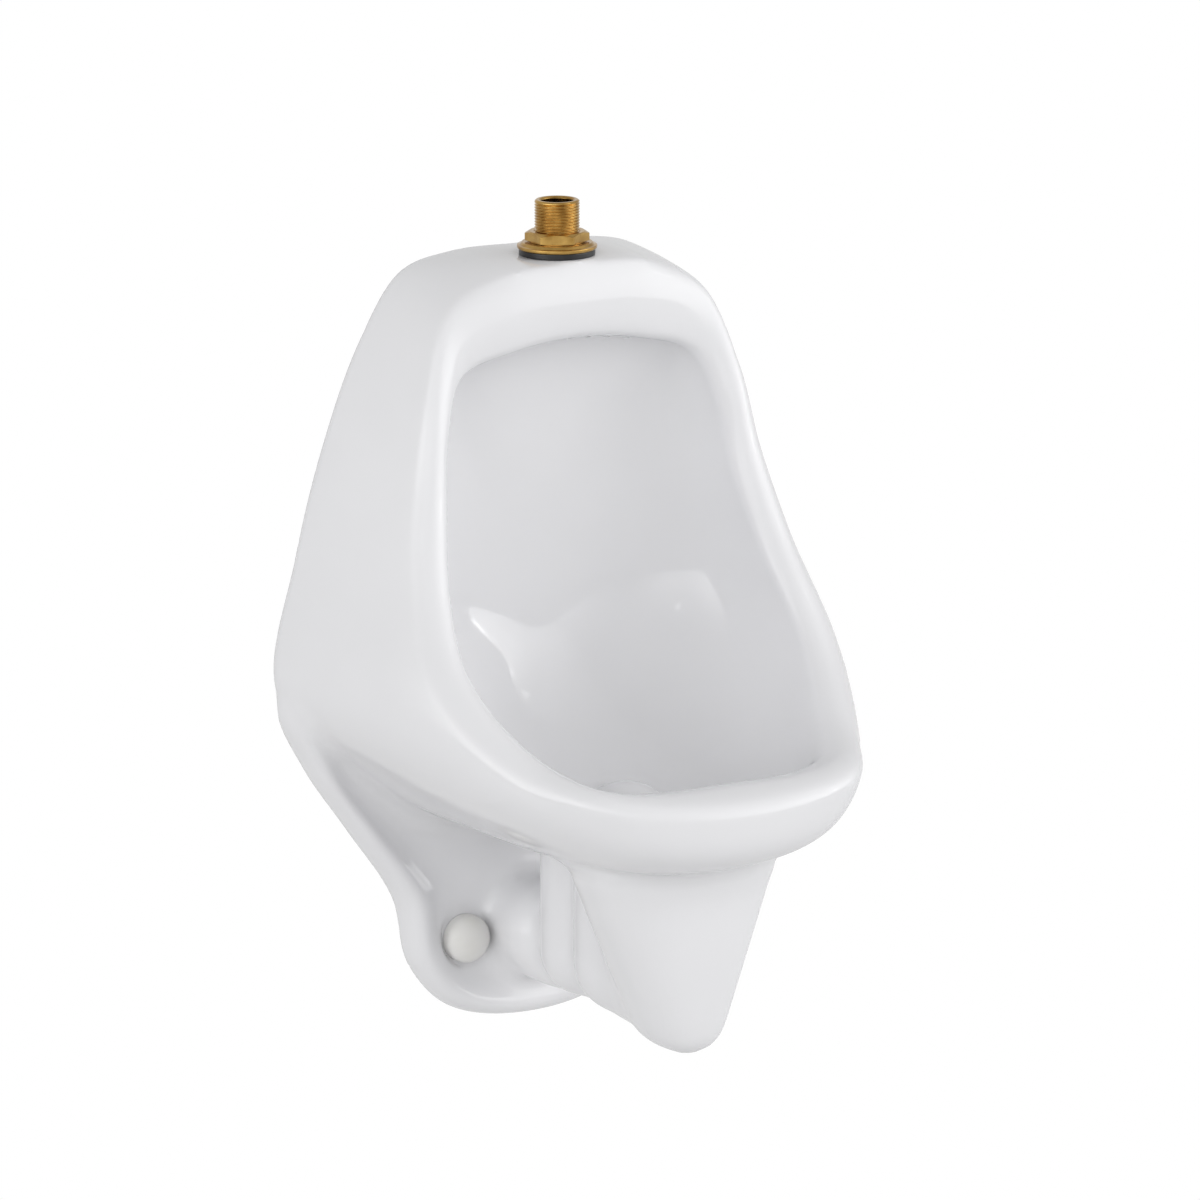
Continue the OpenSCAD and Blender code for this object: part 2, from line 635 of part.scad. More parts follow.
// Domed cap that covers the nut
cap_skirt = 6;
cap_steps = 12;
function dome(r, from, to) =
    [for (i = [0:cap_steps]) let (a = 90 * i / cap_steps) [r * cos(a), from + (to - from) * sin(a)]];
module bolt_cap(side) {
    r = cap_od / 2;
    low = plate_t + clear;
    top = plate_t + cap_h;
    color(cap_white) about_bolt(side)
        polygon(concat([[r - cap_t, low], [r, low]], dome(r, low + cap_skirt, top),
                       turned(dome(r - cap_t, low + cap_skirt, top - cap_t))));
}

// Steel hanger screwed to the wall, with a hook turned up for the china's ledge
hanger_down = 50;
hanger_up = 44;
hook_in = hanger_t + 2 + lip_t;
hook_rise = 6;
screw_down = -37;
screw_up = 33;
module hanger(side) {
    x = side * hanger_pitch / 2;
    color(steel) difference() {
        union() {
            translate([x - hanger_w / 2, -hanger_t, ledge_z - hanger_down])
                cube([hanger_w, hanger_t, hanger_down + hanger_up]);
            translate([x - hanger_w / 2, -hook_in - hanger_t, ledge_z - clear - hanger_t])
                cube([hanger_w, hook_in, hanger_t]);
            translate([x - hanger_w / 2, -hook_in - hanger_t, ledge_z - clear - hanger_t])
                cube([hanger_w, hanger_t, hanger_t + hook_rise]);
        }
        for (z = [screw_down, screw_up]) bar_out(screw_hole / 2, -1, hanger_t + 1, x, ledge_z + z);
    }
}

// Perforated steel strainer that lifts out, and the rubber ring that it rests on
strainer_z = drain_floor + grommet_t;
perforation = 5;
perforation_pitch = 7.8;
module strainer() {
    color(steel) difference() {
        bar_up(strainer_od / 2 - clear, strainer_z + touch, strainer_z + strainer_t, drain_d);
        bar_up(perforation / 2, strainer_z - 1, strainer_z + strainer_t + 1, drain_d);
        for (row = [1:2]) for (i = [0:6 * row - 1])
            rotate_at(60 * i / row, row * perforation_pitch)
                cylinder(d = perforation, h = strainer_t + 2, $fn = 24);
    }
}
module rotate_at(angle, out) {
    translate([out * cos(angle), -drain_d + out * sin(angle), strainer_z - 1]) children();
}
module strainer_grommet() {
    color(black_rubber) ring_up(drain_recess - touch, trap_bore / 2 + 1, drain_floor, strainer_z, drain_d);
}

module cap_base_left() { cap_base(-1); }
module cap_base_right() { cap_base(1); }
module bolt_cap_left() { bolt_cap(-1); }
module bolt_cap_right() { bolt_cap(1); }
module hanger_left() { hanger(-1); }
module hanger_right() { hanger(1); }

china_body();
inlet_spud();
spud_locknut();
spud_friction_ring();
spud_washer();
spud_gasket();
waste_flange();
waste_gasket();
flange_bolts();
bolt_washers();
bolt_nuts();
cap_base_left();
cap_base_right();
bolt_cap_left();
bolt_cap_right();
hanger_left();
hanger_right();
strainer();
strainer_grommet();
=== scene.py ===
import math

import bmesh
import bpy
import numpy as np
from mathutils import Matrix, Vector
from mathutils.bvhtree import BVHTree


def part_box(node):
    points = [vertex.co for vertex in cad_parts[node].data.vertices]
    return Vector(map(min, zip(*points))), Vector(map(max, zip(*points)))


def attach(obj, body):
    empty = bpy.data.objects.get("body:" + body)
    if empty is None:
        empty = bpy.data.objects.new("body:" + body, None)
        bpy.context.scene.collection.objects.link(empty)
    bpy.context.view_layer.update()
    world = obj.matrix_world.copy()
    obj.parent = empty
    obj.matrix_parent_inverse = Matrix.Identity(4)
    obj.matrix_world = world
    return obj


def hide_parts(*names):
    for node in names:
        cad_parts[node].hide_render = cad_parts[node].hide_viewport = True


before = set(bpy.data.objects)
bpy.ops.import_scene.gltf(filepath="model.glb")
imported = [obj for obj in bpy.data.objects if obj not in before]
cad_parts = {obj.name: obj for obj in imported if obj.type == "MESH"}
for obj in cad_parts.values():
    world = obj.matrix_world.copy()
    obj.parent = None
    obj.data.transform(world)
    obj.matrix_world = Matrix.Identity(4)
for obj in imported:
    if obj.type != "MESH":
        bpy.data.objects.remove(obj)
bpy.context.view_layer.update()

# Camera
# A studio camera far from the object, so that upright edges stay upright. It looks at the urinal from 32 degrees
# to its left and 12.5 degrees above, and the crown's middle falls on crown_pixel of the square picture.
picture_size = 1200
crown_pixel = (515, 241)
pixels_per_metre = 1230
camera_distance = 8.0
camera_turn = math.radians(32.0)
camera_tilt = math.radians(12.5)
sensor = 36.0
crown_rounding = 0.0007
crown_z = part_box("china_body")[1][2] - crown_rounding

camera_back = Vector((-math.sin(camera_turn) * math.cos(camera_tilt),
                      -math.cos(camera_turn) * math.cos(camera_tilt), math.sin(camera_tilt)))
camera_right = Vector((math.cos(camera_turn), -math.sin(camera_turn), 0))
camera_up = camera_back.cross(camera_right)
across = (crown_pixel[0] - picture_size / 2) / pixels_per_metre
upward = (picture_size / 2 - crown_pixel[1]) / pixels_per_metre
camera_place = Vector((0, 0, crown_z)) - camera_right * across - camera_up * upward + camera_back * camera_distance
camera_data = bpy.data.cameras.new("studio_camera")
camera_data.sensor_width = sensor
camera_data.lens = sensor * pixels_per_metre * camera_distance / picture_size
camera_data.clip_end = 60
camera = bpy.data.objects.new("studio_camera", camera_data)
camera.matrix_world = Matrix.Translation(camera_place) @ Matrix(
    (camera_right, camera_up, camera_back)).transposed().to_4x4()
bpy.context.collection.objects.link(camera)
bpy.context.scene.camera = camera

# China body: its surfaces
# One slip-cast piece of vitreous china, about 11 mm thick. Its skin is drawn through ten stations from the middle of
# the crown, down one flank to the middle of the lip, in millimetres as [across, out from the wall, up].
body_w = 464
crown = 560
crown_w = 224
belly_z = 215
keel_z = 86
flange_d = 8
reach = 356
lip_z = 160
rim_w = 378
forehead_d = 99
mouth_w = 316
arch_z = 496.5
sill_z = 171
sill_d = 316
bowl_back_d = 40
bowl_back_z = 262
floor_sink = 84
floor_push = 168
china_t = 11
edge_r = 9
rim_rise = 4
last = 9


def half_line(top, quarter, shoulder, shares, belly, *rest):
    """Half of a closed line, from the middle of the crown down one side to its lowest or foremost point."""
    down = [[shoulder[i] + (belly[i] - shoulder[i]) * share[i] for i in range(3)] for share in shares]
    return [top, quarter, shoulder, *down, belly, *rest]


wall_line = half_line([0, flange_d, crown], [crown_w * 0.28, flange_d, crown - 0.5],
                      [crown_w / 2, flange_d, crown - 13], [[0.33, 0, 0.165], [0.62, 0, 0.41], [0.84, 0, 0.68]],
                      [body_w / 2, flange_d, belly_z], [body_w / 2 - 60, flange_d, keel_z + 62],
                      [body_w / 2 - 142, flange_d, keel_z + 10], [0, flange_d, keel_z])
rim_line = half_line([0, forehead_d + 5, crown - 11], [crown_w * 0.28, forehead_d + 4, crown - 14],
                     [crown_w / 2 + 10, forehead_d - 1, crown - 34],
                     [[0.42, 0.14, 0.24], [0.63, 0.25, 0.49], [0.86, 0.49, 0.74]],
                     [rim_w / 2, forehead_d + 91, belly_z + 32], [rim_w / 2 - 31, reach - 84, lip_z + 27],
                     [rim_w / 2 - 72, reach - 21, lip_z + 9], [0, reach, lip_z])
mouth_line = half_line([0, forehead_d + 4, arch_z], [crown_w * 0.27, forehead_d + 3, arch_z - 6.5],
                       [crown_w / 2 - 2, forehead_d + 1, arch_z - 23.5],
                       [[0.4, 0.12, 0.2], [0.56, 0.24, 0.44], [0.85, 0.55, 0.75]],
                       [mouth_w / 2, forehead_d + 91, belly_z + 36], [mouth_w / 2 - 20, sill_d - 68, sill_z + 29],
                       [mouth_w / 2 - 54, sill_d - 10, sill_z + 5], [0, sill_d, sill_z])
outside_power = [0.4, 0.6, 1.6, 1.8, 1.8, 1.75, 1.35, 0.72, 0.5, 0.46]
bowl_power = 0.72
floor_from = 5.2
floor_to = 9.2


def length(v):
    return np.sqrt((v * v).sum(-1, keepdims=True))


def curve(line, t):
    """Smooth closed curve through the stations of a half contour and their mirror images."""
    half = np.array(line, float)
    loop = np.concatenate([half, half[-2:0:-1] * [-1, 1, 1]])
    k = np.floor(t).astype(int)
    f = (t - k)[..., None]
    a, b, c, d = (loop[(k + i) % len(loop)] for i in (-1, 0, 1, 2))
    u, v, w = (np.sqrt(length(q)) + 1e-6 for q in (b - a, c - b, d - c))
    m = v * ((b - a) / u - (c - a) / (u + v) + (c - b) / v)
    n = v * ((c - b) / v - (d - b) / (v + w) + (d - c) / w)
    return b + (c - b) * (f * f * (3 - 2 * f)) + m * (f * (1 - f) ** 2) - n * (f * f * (1 - f))


def folded(t):
    return np.where(t > last, 2 * last - t, t)


def along(values, t):
    """Value that changes evenly from station to station."""
    return np.interp(folded(t), range(len(values)), values)


def ease(f):
    f = np.clip(f, 0, 1)
    return f * f * (3 - 2 * f)


def power(x, p):
    return np.maximum(x, 0) ** p


def outside(t, s):
    """Outside skin: s is 0 on the rim's outer edge and 1 on the wall line."""
    w, e, p = curve(wall_line, t), curve(rim_line, t), along(outside_power, t)[..., None]
    k = np.stack([e[..., 0], w[..., 1], e[..., 2]], -1)
    s = s[..., None] * math.pi / 2
    return k + (e - k) * power(np.cos(s), p) + (w - k) * power(np.sin(s), p)


def bowl(t, s):
    """Bowl: s is 0 on the mouth and 1 at the middle of the bowl's back."""
    m = curve(mouth_line, t)
    c, q = power(np.cos(s * math.pi / 2), bowl_power), power(np.sin(s * math.pi / 2), bowl_power)
    sink = ease((folded(t) - floor_from) / (floor_to - floor_from)) * np.sin(s * math.pi)
    return np.stack([m[..., 0] * c,
                     m[..., 1] + (bowl_back_d - m[..., 1]) * q + floor_push * sink * np.cos(s * math.pi / 2),
                     bowl_back_z + (m[..., 2] - bowl_back_z) * c - floor_sink * sink], -1)


def step_to(a, b, far):
    """The point on the way from a to b that is far from a, and never past b."""
    gap = length(b - a) + 1e-9
    return a + (b - a) * np.minimum(far / gap, 1)


def share_at(skin, t, far):
    """How far along a skin its distance from the edge reaches far."""
    low, high, edge = np.zeros(len(t)), np.full(len(t), 0.6), skin(t, t * 0)
    for i in range(24):
        middle = (low + high) / 2
        short = length(skin(t, middle) - edge)[:, 0] < far
        low, high = np.where(short, middle, low), np.where(short, high, middle)
    return low


def rounded(a, corner, b, steps):
    """Points on the curve that rounds a corner between a and b, without its ends."""
    return [a * (1 - f) ** 2 + corner * 2 * f * (1 - f) + b * f * f for f in np.arange(1, steps) / steps]


def evenly(count, whole):
    """Even steps round a closed loop."""
    return np.arange(count) * whole / count


def body_rings(count):
    """Rings of the body's skin, from the middle of the bowl over the rim and the flanks to the wall."""
    t = evenly(count, 2 * last)
    e, m = outside(t, t * 0), bowl(t, t * 0)
    tip = np.radians(along([0, 0, 0, 5, 10, 20, 45, 65, 78, 84], t))
    rise = np.stack([tip * 0, np.cos(tip), np.sin(tip)], -1) * rim_rise
    top = (m + e) / 2 + rise * 1.5
    s_in, s_out = share_at(bowl, t, edge_r), share_at(outside, t, edge_r)
    m_low, m_top = bowl(t, s_in), step_to(m, top, edge_r)
    e_low, e_top = outside(t, s_out), step_to(e, top, edge_r)
    rings = [bowl(t, s_in + (0.97 - s_in) * f) for f in np.linspace(1, 0, 60)]
    rings += rounded(m_low, m, m_top, 9) + [m_top] + rounded(m_top, top, e_top, 12)
    rings += [e_top] + rounded(e_top, e, e_low, 9)
    rings += [outside(t, s_out + (1 - s_out) * f) for f in np.linspace(0, 1, 66)]
    wall = rings[-1]
    foot = wall * [1, 0, 1]
    inset = step_to(foot, np.array([0, 0, belly_z + 60.0]) + foot * 0, 5)
    rings += rounded(wall, foot, inset, 5) + [inset]
    return rings


def lofted(rings, start, end):
    """Closed shell through rings of points, each end a fan round a middle point. Depths become -Y here."""
    points = np.concatenate(rings + [np.array([start, end], float)]) * [1, -1, 1]
    n, r = len(rings[0]), len(rings)
    a = (np.arange(r - 1)[:, None] * n + np.arange(n)).ravel()
    b = (np.arange(r - 1)[:, None] * n + (np.arange(n) + 1) % n).ravel()
    j = np.arange(n)
    k = (j + 1) % n
    faces = [np.stack([a, b, b + n], -1), np.stack([a, b + n, a + n], -1),
             np.stack([k, j, j * 0 + r * n], -1),
             np.stack([(r - 1) * n + j, (r - 1) * n + k, j * 0 + r * n + 1], -1)]
    faces = np.concatenate(faces)
    corner = points[faces]
    volume = (corner[:, 0] * np.cross(corner[:, 1], corner[:, 2])).sum()
    return points, faces if volume > 0 else faces[:, ::-1]


body_shell = lofted(body_rings(360), [0, bowl_back_d, bowl_back_z], [0, 0, belly_z + 60])

# China body: wall plate, spout, trap and ear
# Under the bowl the casting goes on as a plate against the wall, with a swollen edge, a spout that holds the trap's
# water and a trap body that runs back to an ear round the outlet.
plate_w = 228
plate_drop = 84
plate_t = 20
ridge_t = 31
ridge_w = 30
plate_mid_z = 60
plate_line = [[0, flange_d, belly_z + 40], [120, flange_d, belly_z + 35], [body_w / 2 - 18, flange_d, belly_z + 21],
              [body_w / 2 - 1, flange_d, belly_z - 16], [body_w / 2 - 25, flange_d, 146],
              [plate_w / 2 + 53, flange_d, 90], [plate_w / 2 + 9, flange_d, 26], [plate_w / 2 - 5, flange_d, -30],
              [plate_w / 2 - 42, flange_d, 14 - plate_drop], [0, flange_d, -plate_drop]]
spout_w = 168
spout_z = -62
spout_d = 287
trap_w = 86
ear_r = 45
ear_w = 78


def plate_ring(inset, depth, count=220):
    p = curve(plate_line, evenly(count, 2 * last))
    q = step_to(p, p * [0, 1, 0] + [0, 0, plate_mid_z], inset)
    return np.stack([q[:, 0], q[:, 0] * 0 + depth, q[:, 2]], -1)


def smooth_rows(rows, per_gap):
    """Rows of numbers with more rows between them, on a smooth curve through them all."""
    rows = np.array(rows, float)
    ends = np.concatenate([[2 * rows[0] - rows[1]], rows, [2 * rows[-1] - rows[-2]]])
    out = []
    for i in range(len(rows) - 1):
        a, b, c, d = ends[i:i + 4]
        for f in np.arange(per_gap) / per_gap:
            out.append(b + f * (c - a) / 2 + f * f * (a - 2.5 * b + 2 * c - d / 2)
                       + f ** 3 * (d - a + 3 * b - 3 * c) / 2)
    return out + [rows[-1]]


plate_profile = smooth_rows([[4, 0], [1, 3], [0, flange_d], [1, ridge_t - 13], [5, ridge_t - 4], [12, ridge_t],
                             [ridge_w - 10, ridge_t - 2], [ridge_w, plate_t + 4], [ridge_w + 14, plate_t + 1],
                             [ridge_w + 30, plate_t]], 4)
plate_shell = lofted([plate_ring(inset, depth) for inset, depth in plate_profile],
                     [0, 0, plate_mid_z], [0, plate_t, plate_mid_z])
spout_levels = [[spout_z + 1, 9, spout_d - 42, spout_d - 17], [spout_z + 7, 22, spout_d - 58, spout_d - 9],
                [spout_z + 20, 33, spout_d - 72, spout_d - 4],
                [spout_z + 52, spout_w / 2 - 38, spout_d - 80, spout_d - 1],
                [spout_z + 90, spout_w / 2 - 22, spout_d - 86, spout_d],
                [spout_z + 126, spout_w / 2 - 7, spout_d - 90, spout_d],
                [keel_z + 8, spout_w / 2 + 2, spout_d - 96, spout_d + 2],
                [keel_z + 18, spout_w / 2 - 16, spout_d - 92, spout_d - 22]]
trap_sections = [[1, 33, -ear_r - 4, 32], [50, 33, -ear_r - 4, 32], [78, 31, -ear_r - 4, 38],
                 [92, 29, -ear_r - 3, 60], [106, 31, -ear_r - 2, keel_z], [124, 31, -ear_r - 2, keel_z + 10],
                 [138, 27, -ear_r - 3, keel_z + 11], [152, 31, -ear_r - 3, keel_z + 11],
                 [170, trap_w / 2 - 4, -ear_r - 4, keel_z + 11], [215, trap_w / 2 - 2, spout_z + 9, keel_z + 11],
                 [240, trap_w / 2 - 10, spout_z + 8, keel_z + 9]]


def squared(a, p):
    return np.sign(a) * np.abs(a) ** p


def spout_ring(z, half, back, front, count=120):
    a = evenly(count, 2 * math.pi)
    return np.stack([half * squared(np.sin(a), 0.7), (back + front) / 2 + (front - back) / 2 * squared(np.cos(a), 0.62),
                     a * 0 + z], -1)


def trap_ring(depth, half, low, high, count=120):
    a = evenly(count, 2 * math.pi)
    return np.stack([half * squared(np.sin(a), 0.8), a * 0 + depth,
                     (low + high) / 2 - (high - low) / 2 * squared(np.cos(a), 0.8)], -1)


spout_shell = lofted([spout_ring(*row) for row in smooth_rows(spout_levels, 6)],
                     [0, spout_d - 39, spout_z], [0, spout_d - 50, keel_z + 18])
trap_shell = lofted([trap_ring(*row) for row in smooth_rows(trap_sections, 8)],
                    [0, 0, 0], [0, trap_sections[-1][0], 10])

# China body: its hollows
# The open hollow in the back follows the flanks and the bowl one wall thickness inside them. The trapway, the
# flushing chamber over the bowl and the pocket in the plate are the other hollows of the casting.
hollow_top = arch_z - 14
hollow_tip = [30, 32, 38, 68, 86, 110, 142, 122, 95, 90]
hollow_turn = [40, 40, 37, 30, 26, 25, 26, 50, 63, 66]


def out_of(skin_of, t, s, turn):
    """Direction out of a skin, worked out from the skin a little to each side."""
    v = np.cross(skin_of(t, s + 0.016) - skin_of(t, s - 0.016), skin_of(t + 0.06, s) - skin_of(t - 0.06, s))
    return turn * v / (length(v) + 1e-9)


def hollow_flank(t, depth):
    w, e, p = curve(wall_line, t), curve(rim_line, t), along(outside_power, t)
    share = np.maximum(depth - w[:, 1], 0.5) / (e[:, 1] - w[:, 1])
    s = np.minimum(np.arccos(np.minimum(share ** (1 / p), 1)) / (math.pi / 2), 0.975)
    q = outside(t, s) - out_of(outside, t, s, 1) * china_t
    roof_x = w[:, 0] * 0.93
    roof = np.stack([roof_x, roof_x * 0 + hollow_top - 8 * (roof_x / 118) ** 2], -1)
    f = ease((folded(t) - 1.6) / 1.4)[:, None]
    level = roof * (1 - f) + q[:, [0, 2]] * f
    return np.stack([level[:, 0], depth, level[:, 1]], -1)


def hollow_rings(count):
    t = evenly(count, 2 * last)
    tip, turn = along(hollow_tip, t), along(hollow_turn, t) / 90
    rings = [hollow_flank(t, tip * f) for f in np.concatenate([[-0.1], np.linspace(0.05, 1, 24)])]
    for f in np.linspace(0, 1, 26):
        s = turn + (0.96 - turn) * f
        rings.append(bowl(t, s) + out_of(bowl, t, s, 1) * china_t)
    return rings


hollow_shell = lofted(hollow_rings(200), [0, -3, bowl_back_z], [0, bowl_back_d - china_t, bowl_back_z])
pocket_floor = plate_t - china_t
pocket_shell = lofted([plate_ring(ridge_w / 2, -3), plate_ring(ridge_w / 2, pocket_floor - 2),
                       plate_ring(ridge_w / 2 + 1, pocket_floor), plate_ring(ridge_w / 2 + 12, pocket_floor)],
                      [0, -3, plate_mid_z], [0, pocket_floor, plate_mid_z])

# China body: one blended casting
# The glaze runs every joint of the casting into a soft hollow. Each skin gives its distance, the distances are
# blended, and an even net of four-sided faces is drawn where the blend is nought, then pulled onto it exactly.
net = 4.2
block = 4
joint_plate = 26
joint_spout = 18
joint_trap = 22
joint_ear = 10
joint_legs = 14
joint_limbs = 14
ear_end = 52
fall_leg_d = 111
rise_leg_d = 171
back_edge = 5


def search_tree(points, faces):
    """Nearest-point search on a closed shell, with the outward directions of its faces and corners."""
    corner = points[faces]
    out = np.cross(corner[:, 1] - corner[:, 0], corner[:, 2] - corner[:, 0])
    out /= length(out) + 1e-9
    corner_out = np.zeros((len(points), 3))
    for i in range(3):
        a, b = corner[:, i - 1] - corner[:, i], corner[:, (i + 1) % 3] - corner[:, i]
        share = (a * b).sum(-1, keepdims=True) / (length(a) * length(b) + 1e-9)
        np.add.at(corner_out, faces[:, i], out * np.arccos(np.clip(share, -1, 1)))
    tree = BVHTree.FromPolygons(points.tolist(), faces.tolist())
    return tree.find_nearest, points, faces, out, corner_out / (length(corner_out) + 1e-9)


trees = {name: search_tree(*shell) for name, shell in (("body", body_shell), ("plate", plate_shell),
                                                       ("spout", spout_shell), ("trap", trap_shell),
                                                       ("hollow", hollow_shell), ("pocket", pocket_shell))}
far_off = 120.0


def from_shell(name, points):
    """Distance to a closed shell, negative inside it, and the way out of it."""
    find, corners, faces, face_out, corner_out = trees[name]
    spot, index, gap = np.zeros((len(points), 3)), np.zeros(len(points), int), np.full(len(points), far_off)
    for i, p in enumerate(points.tolist()):
        found = find(p, far_off)
        if found[0] is not None:
            spot[i], index[i], gap[i] = found[0], found[2], found[3]
    off = points - spot
    level = (off * face_out[index]).sum(-1)
    near = corner_out[faces[index]]
    weight = 1 / (length(corners[faces[index]] - spot[:, None]) + 1e-3)
    lean = (off * (near * weight).sum(1)).sum(-1)
    side = np.where(np.abs(level) > 0.99 * gap, level, lean)
    side = np.where((side < 0) & (gap < far_off), -1.0, 1.0)
    way = np.where((gap > 0.02)[:, None], side[:, None] * off / (gap[:, None] + 1e-9), face_out[index])
    return side * gap, way


def joined(a, b, k):
    """Two skins made one, with a soft hollow in the corner between them, and none where they run side by side."""
    k = k * np.clip(1.1 - (a[1] * b[1]).sum(-1), 0.02, 1)
    h = np.maximum(k - np.abs(a[0] - b[0]), 0) / k
    near = a[0] < b[0]
    value = np.where(near, a[0], b[0]) - h * h * k / 4
    share = np.where(near, 1 - h / 2, h / 2)[:, None]
    return value, a[1] * share + b[1] * (1 - share)


def hollowed(a, b, k):
    """The first skin less the second, with the edge between them rounded."""
    value, way = joined((-a[0], -a[1]), b, k)
    return -value, -way


def shared(a, b):
    """What two skins have in common, with a sharp edge between them."""
    outer = a[0] > b[0]
    return np.where(outer, a[0], b[0]), np.where(outer[:, None], a[1], b[1])


def flat_skin(value, axis):
    """Flat skin that faces along an axis, from the distances to it."""
    return value, np.tile(np.eye(3)[axis], (len(value), 1))


def rod(points, a, b, r):
    """Round-ended rod from a to b, in [across, depth, up]."""
    a, b = np.array(a, float) * [1, -1, 1], np.array(b, float) * [1, -1, 1]
    f = np.clip((points - a) @ (b - a) / ((b - a) @ (b - a)), 0, 1)[:, None]
    off = points - (a + (b - a) * f)
    gap = length(off)
    return gap[:, 0] - r, off / (gap + 1e-9)


def brick(points, low, high, r):
    """Block between two corners in [across, depth, up], with its edges rounded by r."""
    low, high = np.array([low[0], -high[1], low[2]], float), np.array([high[0], -low[1], high[2]], float)
    off = points - (low + high) / 2
    q = np.abs(off) - (high - low) / 2 + r
    outer = np.maximum(q, 0)
    gap = length(outer)
    inner = q.max(-1)
    way = np.where(gap > 1e-6, outer / (gap + 1e-9), np.eye(3)[q.argmax(-1)]) * np.sign(off)
    return np.where(inner > 0, gap[:, 0], inner) - r, way


def puck(points, middle, axis, r, low, high):
    """Round puck about an upright axis (2) or one that stands out of the wall (1), between two places along it."""
    across = np.ones(3)
    across[axis] = 0
    off = (points - np.array(middle) * [1, -1, 1]) * across
    gap = length(off)
    value, way = gap[:, 0] - r, off / (gap + 1e-9)
    outward = np.eye(3)[axis] * (1 if axis == 2 else -1)
    place = points[:, axis] * (1 if axis == 2 else -1)
    for level, turn in ((high, 1), (low, -1)):
        end = turn * (place - level)
        over = end > value
        value, way = np.where(over, end, value), np.where(over[:, None], outward * turn, way)
    return value, way


bolt_pitch = 126
bolt_z = -11
cap_od = 40
washer_r = 31
seat_z = crown - 0.5
chamber_top = seat_z - 13.5
chamber_h = 36
inlet_d = 65
chamber_d = inlet_d - 2
chamber_r = 27.5
chamber_half = 54
drain = bowl(np.array([9.0]), np.array([40 / 90]))[0]
drain_d = drain[1]
drain_floor = drain[2] - 4.5
bore_r = 20
trap_low = spout_z + 42
weir_z = keel_z - 45
riser_d = drain_d - 74
fall_d = riser_d - 54
hanger_pitch = 210
ledge_z = 425


def casting(points, skins):
    """The blended casting's distance and way out at the points, given which skins are near enough to matter."""
    part = {name: (np.full(len(points), far_off), np.zeros((len(points), 3))) for name in trees}
    for name in trees:
        use = skins[name][0]
        part[name][0][~use] = skins[name][1][~use]
        if use.any():
            part[name][0][use], part[name][1][use] = from_shell(name, points[use])
    whole = joined(part["body"], part["plate"], joint_plate)
    whole = joined(whole, part["spout"], joint_spout)
    limbs = joined(rod(points, (0, 8, -5), (0, ear_end, -5), ear_w / 2 + 2),
                   rod(points, (0, fall_leg_d, -9), (0, fall_leg_d, keel_z + 14), trap_w / 2 - 4), joint_ear)
    limbs = joined(limbs, rod(points, (0, rise_leg_d, -6), (0, rise_leg_d, keel_z + 14), trap_w / 2), joint_legs)
    whole = joined(joined(whole, part["trap"], joint_trap), limbs, joint_limbs)
    whole = hollowed(whole, part["hollow"], back_edge)
    whole = hollowed(whole, shared(flat_skin(points[:, 2] - keel_z + 6, 2), part["pocket"]), 2)
    over_spud = (0, inlet_d, 0)
    whole = joined(whole, puck(points, over_spud, 2, washer_r + 1, chamber_top + 1, seat_z), 7)
    whole = hollowed(whole, puck(points, over_spud, 2, washer_r + 4, seat_z, seat_z + 12), 2)
    for side in (-1, 1):
        whole = hollowed(whole, puck(points, (side * bolt_pitch / 2, 0, bolt_z), 1, cap_od / 2 + 3, plate_t, 60), 6)
        x = side * hanger_pitch / 2
        whole = joined(whole, brick(points, (x - 28, 5, ledge_z + 10), (x + 28, bowl_back_d + 14, ledge_z + 22), 2), 8)
        whole = joined(whole, brick(points, (x - 28, 5, ledge_z), (x + 28, 13, ledge_z + 20), 2), 3)
    trapway = [(0, drain_d, drain_floor + 30), (0, drain_d, trap_low), (0, riser_d, trap_low), (0, riser_d, weir_z),
               (0, fall_d, weir_z), (0, fall_d, 0), (0, -30, 0)]
    for a, b in zip(trapway, trapway[1:]):
        whole = hollowed(whole, rod(points, a, b, bore_r), 2)
    low = chamber_top - chamber_h
    whole = hollowed(whole, brick(points, (-chamber_half - chamber_r, chamber_d - chamber_r, low),
                                  (chamber_half + chamber_r, chamber_d + chamber_r, chamber_top), 8), 2)
    half = chamber_half + chamber_r - china_t
    whole = hollowed(whole, brick(points, (-half, -20, hollow_top + china_t),
                                  (half, chamber_d - chamber_r - china_t, chamber_top), 3), 3)
    return shared(flat_skin(points[:, 1], 1), whole)


# Coarse look round the whole casting, to find where its surface runs
span = net * block
grid_shift = [1.3, 1.7, 1.1]
low_corner = np.array([-body_w / 2, -reach, -plate_drop], float) - span - grid_shift
shape = np.ceil((np.array([body_w / 2, 0, crown + 4]) + span - low_corner) / span).astype(int)
blocks = np.argwhere(np.ones(shape))
middles = low_corner + (blocks + 0.5) * span - net / 2
rough = {name: from_shell(name, middles)[0] for name in trees}
rough_all = casting(middles, {name: (np.zeros(len(middles), bool), rough[name]) for name in trees})[0]
reach_in = span * 0.87 + 2
close = np.abs(rough_all) < reach_in

# Fine distances in the blocks that the surface runs through
size = shape * block
field = rough_all.reshape(shape).repeat(block, 0).repeat(block, 1).repeat(block, 2)
offsets = np.argwhere(np.ones([block] * 3))
places = (blocks[close][:, None] * block + offsets).reshape(-1, 3)


def near_skins(points):
    """For each skin, which points are near it, and a rough distance for the others."""
    at = np.clip(((points - low_corner + net / 2) // span).astype(int), 0, shape - 1)
    row = (at[:, 0] * shape[1] + at[:, 1]) * shape[2] + at[:, 2]
    return {name: (np.abs(rough[name][row]) < reach_in + 30, rough[name][row]) for name in trees}


points = low_corner + places * net
field[tuple(places.T)] = casting(points, near_skins(points))[0]

